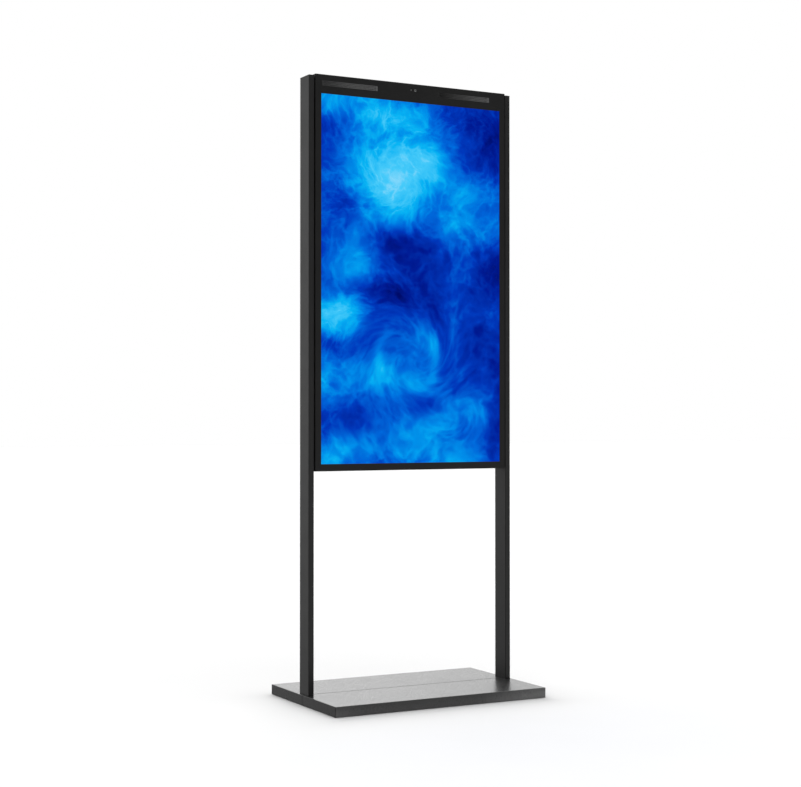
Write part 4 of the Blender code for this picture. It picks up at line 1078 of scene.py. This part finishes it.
def printed_board(node, x, z, foot, inset):
    """The bare board on its standoffs and screws. Returns the face that its parts stand on."""
    top = foot + PILLAR
    face = top + BOARD
    places = [(a, b) for a in (x[0] + inset, x[1] - inset) for b in (z[0] + inset, z[1] - inset)]
    board = plate(rounded_outline(x, z, 0.002), (top, face), 0.0002)
    make(f"{node}_bare", board_green, board, replaces=node, limit=35)
    pillars = [plate(hexagon(a, b, 0.0031), (foot, top), 0.0002) for a, b in places]
    make(f"{node}_standoffs", zinc_plate, *pillars, limit=35)
    screws(f"{node}_standoffs_screws", [(a, face, b) for a, b in places], 0.0028, 0.0016)
    return face


def display_driver():
    """The board that drives the panel, with a finned heat sink over its main chip."""
    node = "display_board"
    x, (foot, _), z = spans_of(node)
    face = printed_board(node, x, z, foot, 0.0045)
    sink_x, sink_z = (x[0] + 0.02, x[0] + 0.06), (z[1] - 0.085, z[1] - 0.045)
    base = face + 0.0022
    fins = [block((sink_x, (base, base + 0.003), sink_z), 0.0003, 2)]
    for fin in range(9):
        at = sink_x[0] + 0.002 + fin * (sink_x[1] - sink_x[0] - 0.004) / 8
        fins.append(block((around(at, 0.0013), (base + 0.0025, foot + 0.02), sink_z), 0.0003, 2))
    make(f"{node}_heat_sink", panel_case, *fins, slot="supply_case")
    chips = chip(sum(sink_x) / 2, sum(sink_z) / 2, 0.03, 0.03, face, 0.0022)
    for at_x, at_z, wide, tall in ((0.08, 0.11, 0.01, 0.014), (0.08, 0.088, 0.01, 0.014),
                                   (0.085, 0.05, 0.014, 0.014), (0.025, 0.04, 0.006, 0.005),
                                   (0.05, 0.042, 0.008, 0.01), (0.03, 0.142, 0.008, 0.006)):
        chips += chip(x[0] + at_x, z[0] + at_z, wide, tall, face, 0.0016)
    make(f"{node}_chips", chip_black, *chips)
    spots = ((0.065, 0.14), (0.074, 0.14), (0.083, 0.14), (0.013, 0.062), (0.013, 0.053))
    cans = [capacitor(x[0] + at_x, z[0] + at_z, face) for at_x, at_z in spots]
    make(f"{node}_capacitors", zinc_plate, *cans, limit=35, slot="circuit_board")
    shells, pins = [], []
    for at, wide in ((0.016, 0.012), (0.034, 0.018), (0.057, 0.022), (0.08, 0.016)):
        shell, inner = header(x[0] + at, z[0] + 0.0135, wide, 0.01, face, foot + 0.016)
        shells.append(shell)
        pins += inner
    make(f"{node}_connectors", socket_white, *shells)
    make(f"{node}_pins", zinc_plate, *pins, slot="circuit_board")
    small_parts(f"{node}_small_parts", (x[0] + 0.005, x[1] - 0.005), (z[0] + 0.025, z[1] - 0.008), face, 90, 5)


def touch_reader():
    """The smaller board that reads the touch glass, with the socket for its ribbon."""
    node = "touch_controller"
    x, (foot, _), z = spans_of(node)
    face = printed_board(node, x, z, foot, 0.004)
    middle = (x[0] + x[1]) / 2
    chips = chip(middle, z[0] + 0.028, 0.012, 0.012, face, 0.0014)
    chips += chip(x[0] + 0.022, z[0] + 0.03, 0.006, 0.006, face, 0.0012)
    make(f"{node}_chips", chip_black, *chips)
    shell, pins = header(middle, z[0] + 0.009, 0.066, 0.007, face, foot + 0.0098)
    make(f"{node}_socket", socket_white, shell)
    make(f"{node}_pins", zinc_plate, *pins, slot="circuit_board")
    small_parts(f"{node}_small_parts", (x[0] + 0.006, x[1] - 0.006), (z[0] + 0.015, z[1] - 0.002), face, 40, 9)


media_player()
power_supply()
display_driver()
touch_reader()


# Inlet and switch

def mains_inlet():
    """An appliance inlet: a socket with two chamfered corners, its flange and its three blades."""
    x, y, z = spans_of("mains_inlet")
    middle = middle_of((x, y, z))
    face = y[1]
    outline = rounded_outline(around(middle.x, 0.0276), around(middle.z, 0.02), 0.0016)
    shell = object_of("mains_inlet_shell", plate(outline, y, 0.0004))
    half, tall, chamfer = 0.0121, 0.0082, 0.004
    cavity = [(-half, -tall), (half, -tall), (half, tall - chamfer), (half - chamfer, tall), (chamfer - half, tall),
              (-half, tall - chamfer)]
    cavity = [(middle.x + a, middle.z + b) for a, b in cavity]
    cut(shell, plate(cavity, (face - 0.016, face + OVERRUN)))
    piece(shell, black_plastic, replaces="mains_inlet", width=0.0003)
    behind = (face - 0.0038, face - 0.0018)
    flange = object_of("mains_inlet_flange", plate(rounded_outline(x, z, 0.003), behind, 0.0003))
    cut(flange, plate(cavity, (behind[0] - OVERRUN, behind[1] + OVERRUN)))
    piece(flange, black_plastic, limit=35)
    deep = (face - 0.017, face - 0.003)
    blades = [block((around(middle.x + a, 0.002), deep, around(middle.z + b, 0.004)), 0.0005)
              for a, b in ((-0.007, -0.002), (0.007, -0.002), (0.0, 0.002))]
    make("mains_inlet_blades", zinc_plate, *blades)


mains_inlet()
dress("power_switch_body", black_plastic, 0.0006, 3)
dress("power_rocker", rocker_plastic, 0.0006, 3)


# Floor and light

CEILING = 1.46
HORIZON = 0.08
PATCHES = (  # towards, spread, strength
    ((0.38, 0.9, 0.17), 14.0, 2.05),
    ((-0.3, 0.92, 0.12), 12.0, 0.74),
    ((0.45, -0.85, -0.52), 11.0, 0.66),
    ((0.66, -0.7, -0.3), 30.0, 0.6),
)
FLOOR_SIZE = 40.0
CONTACT_SHADE = 0.42  # how far the floor darkens beside the base
CONTACT_FALL = -15.0  # the exponent of its fall, for each metre away
CONTACT_SHIFT = 0.045  # of the shade towards the front
CONTACT_RIGHT = 0.65  # how much of it is left past the base's right end


def surroundings():
    """A white room to the camera, and to everything else a bright ceiling, a dim horizon and soft patches."""
    world = bpy.data.worlds.new("studio")
    bpy.context.scene.world = world
    world.use_nodes = True
    world.node_tree.nodes.clear()
    graph = Graph(world.node_tree)
    direction = graph.node("TexCoord", {}, "Generated")

    def patch(towards, spread, strength):
        """How bright a soft patch is in each direction."""
        near = graph.vector("DOT_PRODUCT", direction, tuple(Vector(towards).normalized()), out=1)
        return graph.times(graph.exp(graph.minus(near, 1.0), spread), strength)

    sky = graph.span(graph.axis(direction, "Z"), 0.28, 0.75, HORIZON, CEILING, smooth=True)
    level = graph.total(sky, *(patch(*each) for each in PATCHES))
    shown = graph.node("LightPath", {}, "Is Camera Ray")
    soft = graph.node("Background", {"Color": level, "Strength": 1.0})
    white = graph.node("Background", {"Color": tone(1.0), "Strength": 1.0})
    output = world.node_tree.nodes.new("ShaderNodeOutputWorld")
    graph.fill(output, {"Surface": graph.node("MixShader", {0: shown, 1: soft, 2: white})})


def floor():
    """A pale floor, with a soft shade round the base."""
    bm = bmesh.new()
    bmesh.ops.create_grid(bm, x_segments=1, y_segments=1, size=FLOOR_SIZE)
    made = object_of("floor", bm)
    skin, graph, shader = new_material("pale_floor")
    place = graph.coords()
    cloud = graph.noise(place, 3.0, 4.0)
    pale = graph.mix(cloud, tone(0.9), tone(0.92))
    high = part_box("base_plate")[1]
    past = graph.vector("SUBTRACT", graph.vector("ABSOLUTE", graph.vector("ADD", place, (0.0, CONTACT_SHIFT, 0.0))),
                        (high.x, high.y, 0.0))
    away = graph.vector("LENGTH", graph.vector("MAXIMUM", past, (0.0, 0.0, 0.0)), out=1)
    right = graph.span(graph.axis(place, "X"), high.x - 0.03, high.x + 0.03, 1.0, CONTACT_RIGHT)
    near = graph.times(graph.exp(away, CONTACT_FALL), right, CONTACT_SHADE)
    graph.fill(shader, {"Base Color": graph.mix(near, pale, tone(0.4)), "Specular IOR Level": 0.1,
                        "Roughness": graph.span(cloud, 0.3, 0.7, 0.75, 0.85)})
    made.data.materials.append(skin)
    made.visible_glossy = False


surroundings()
floor()
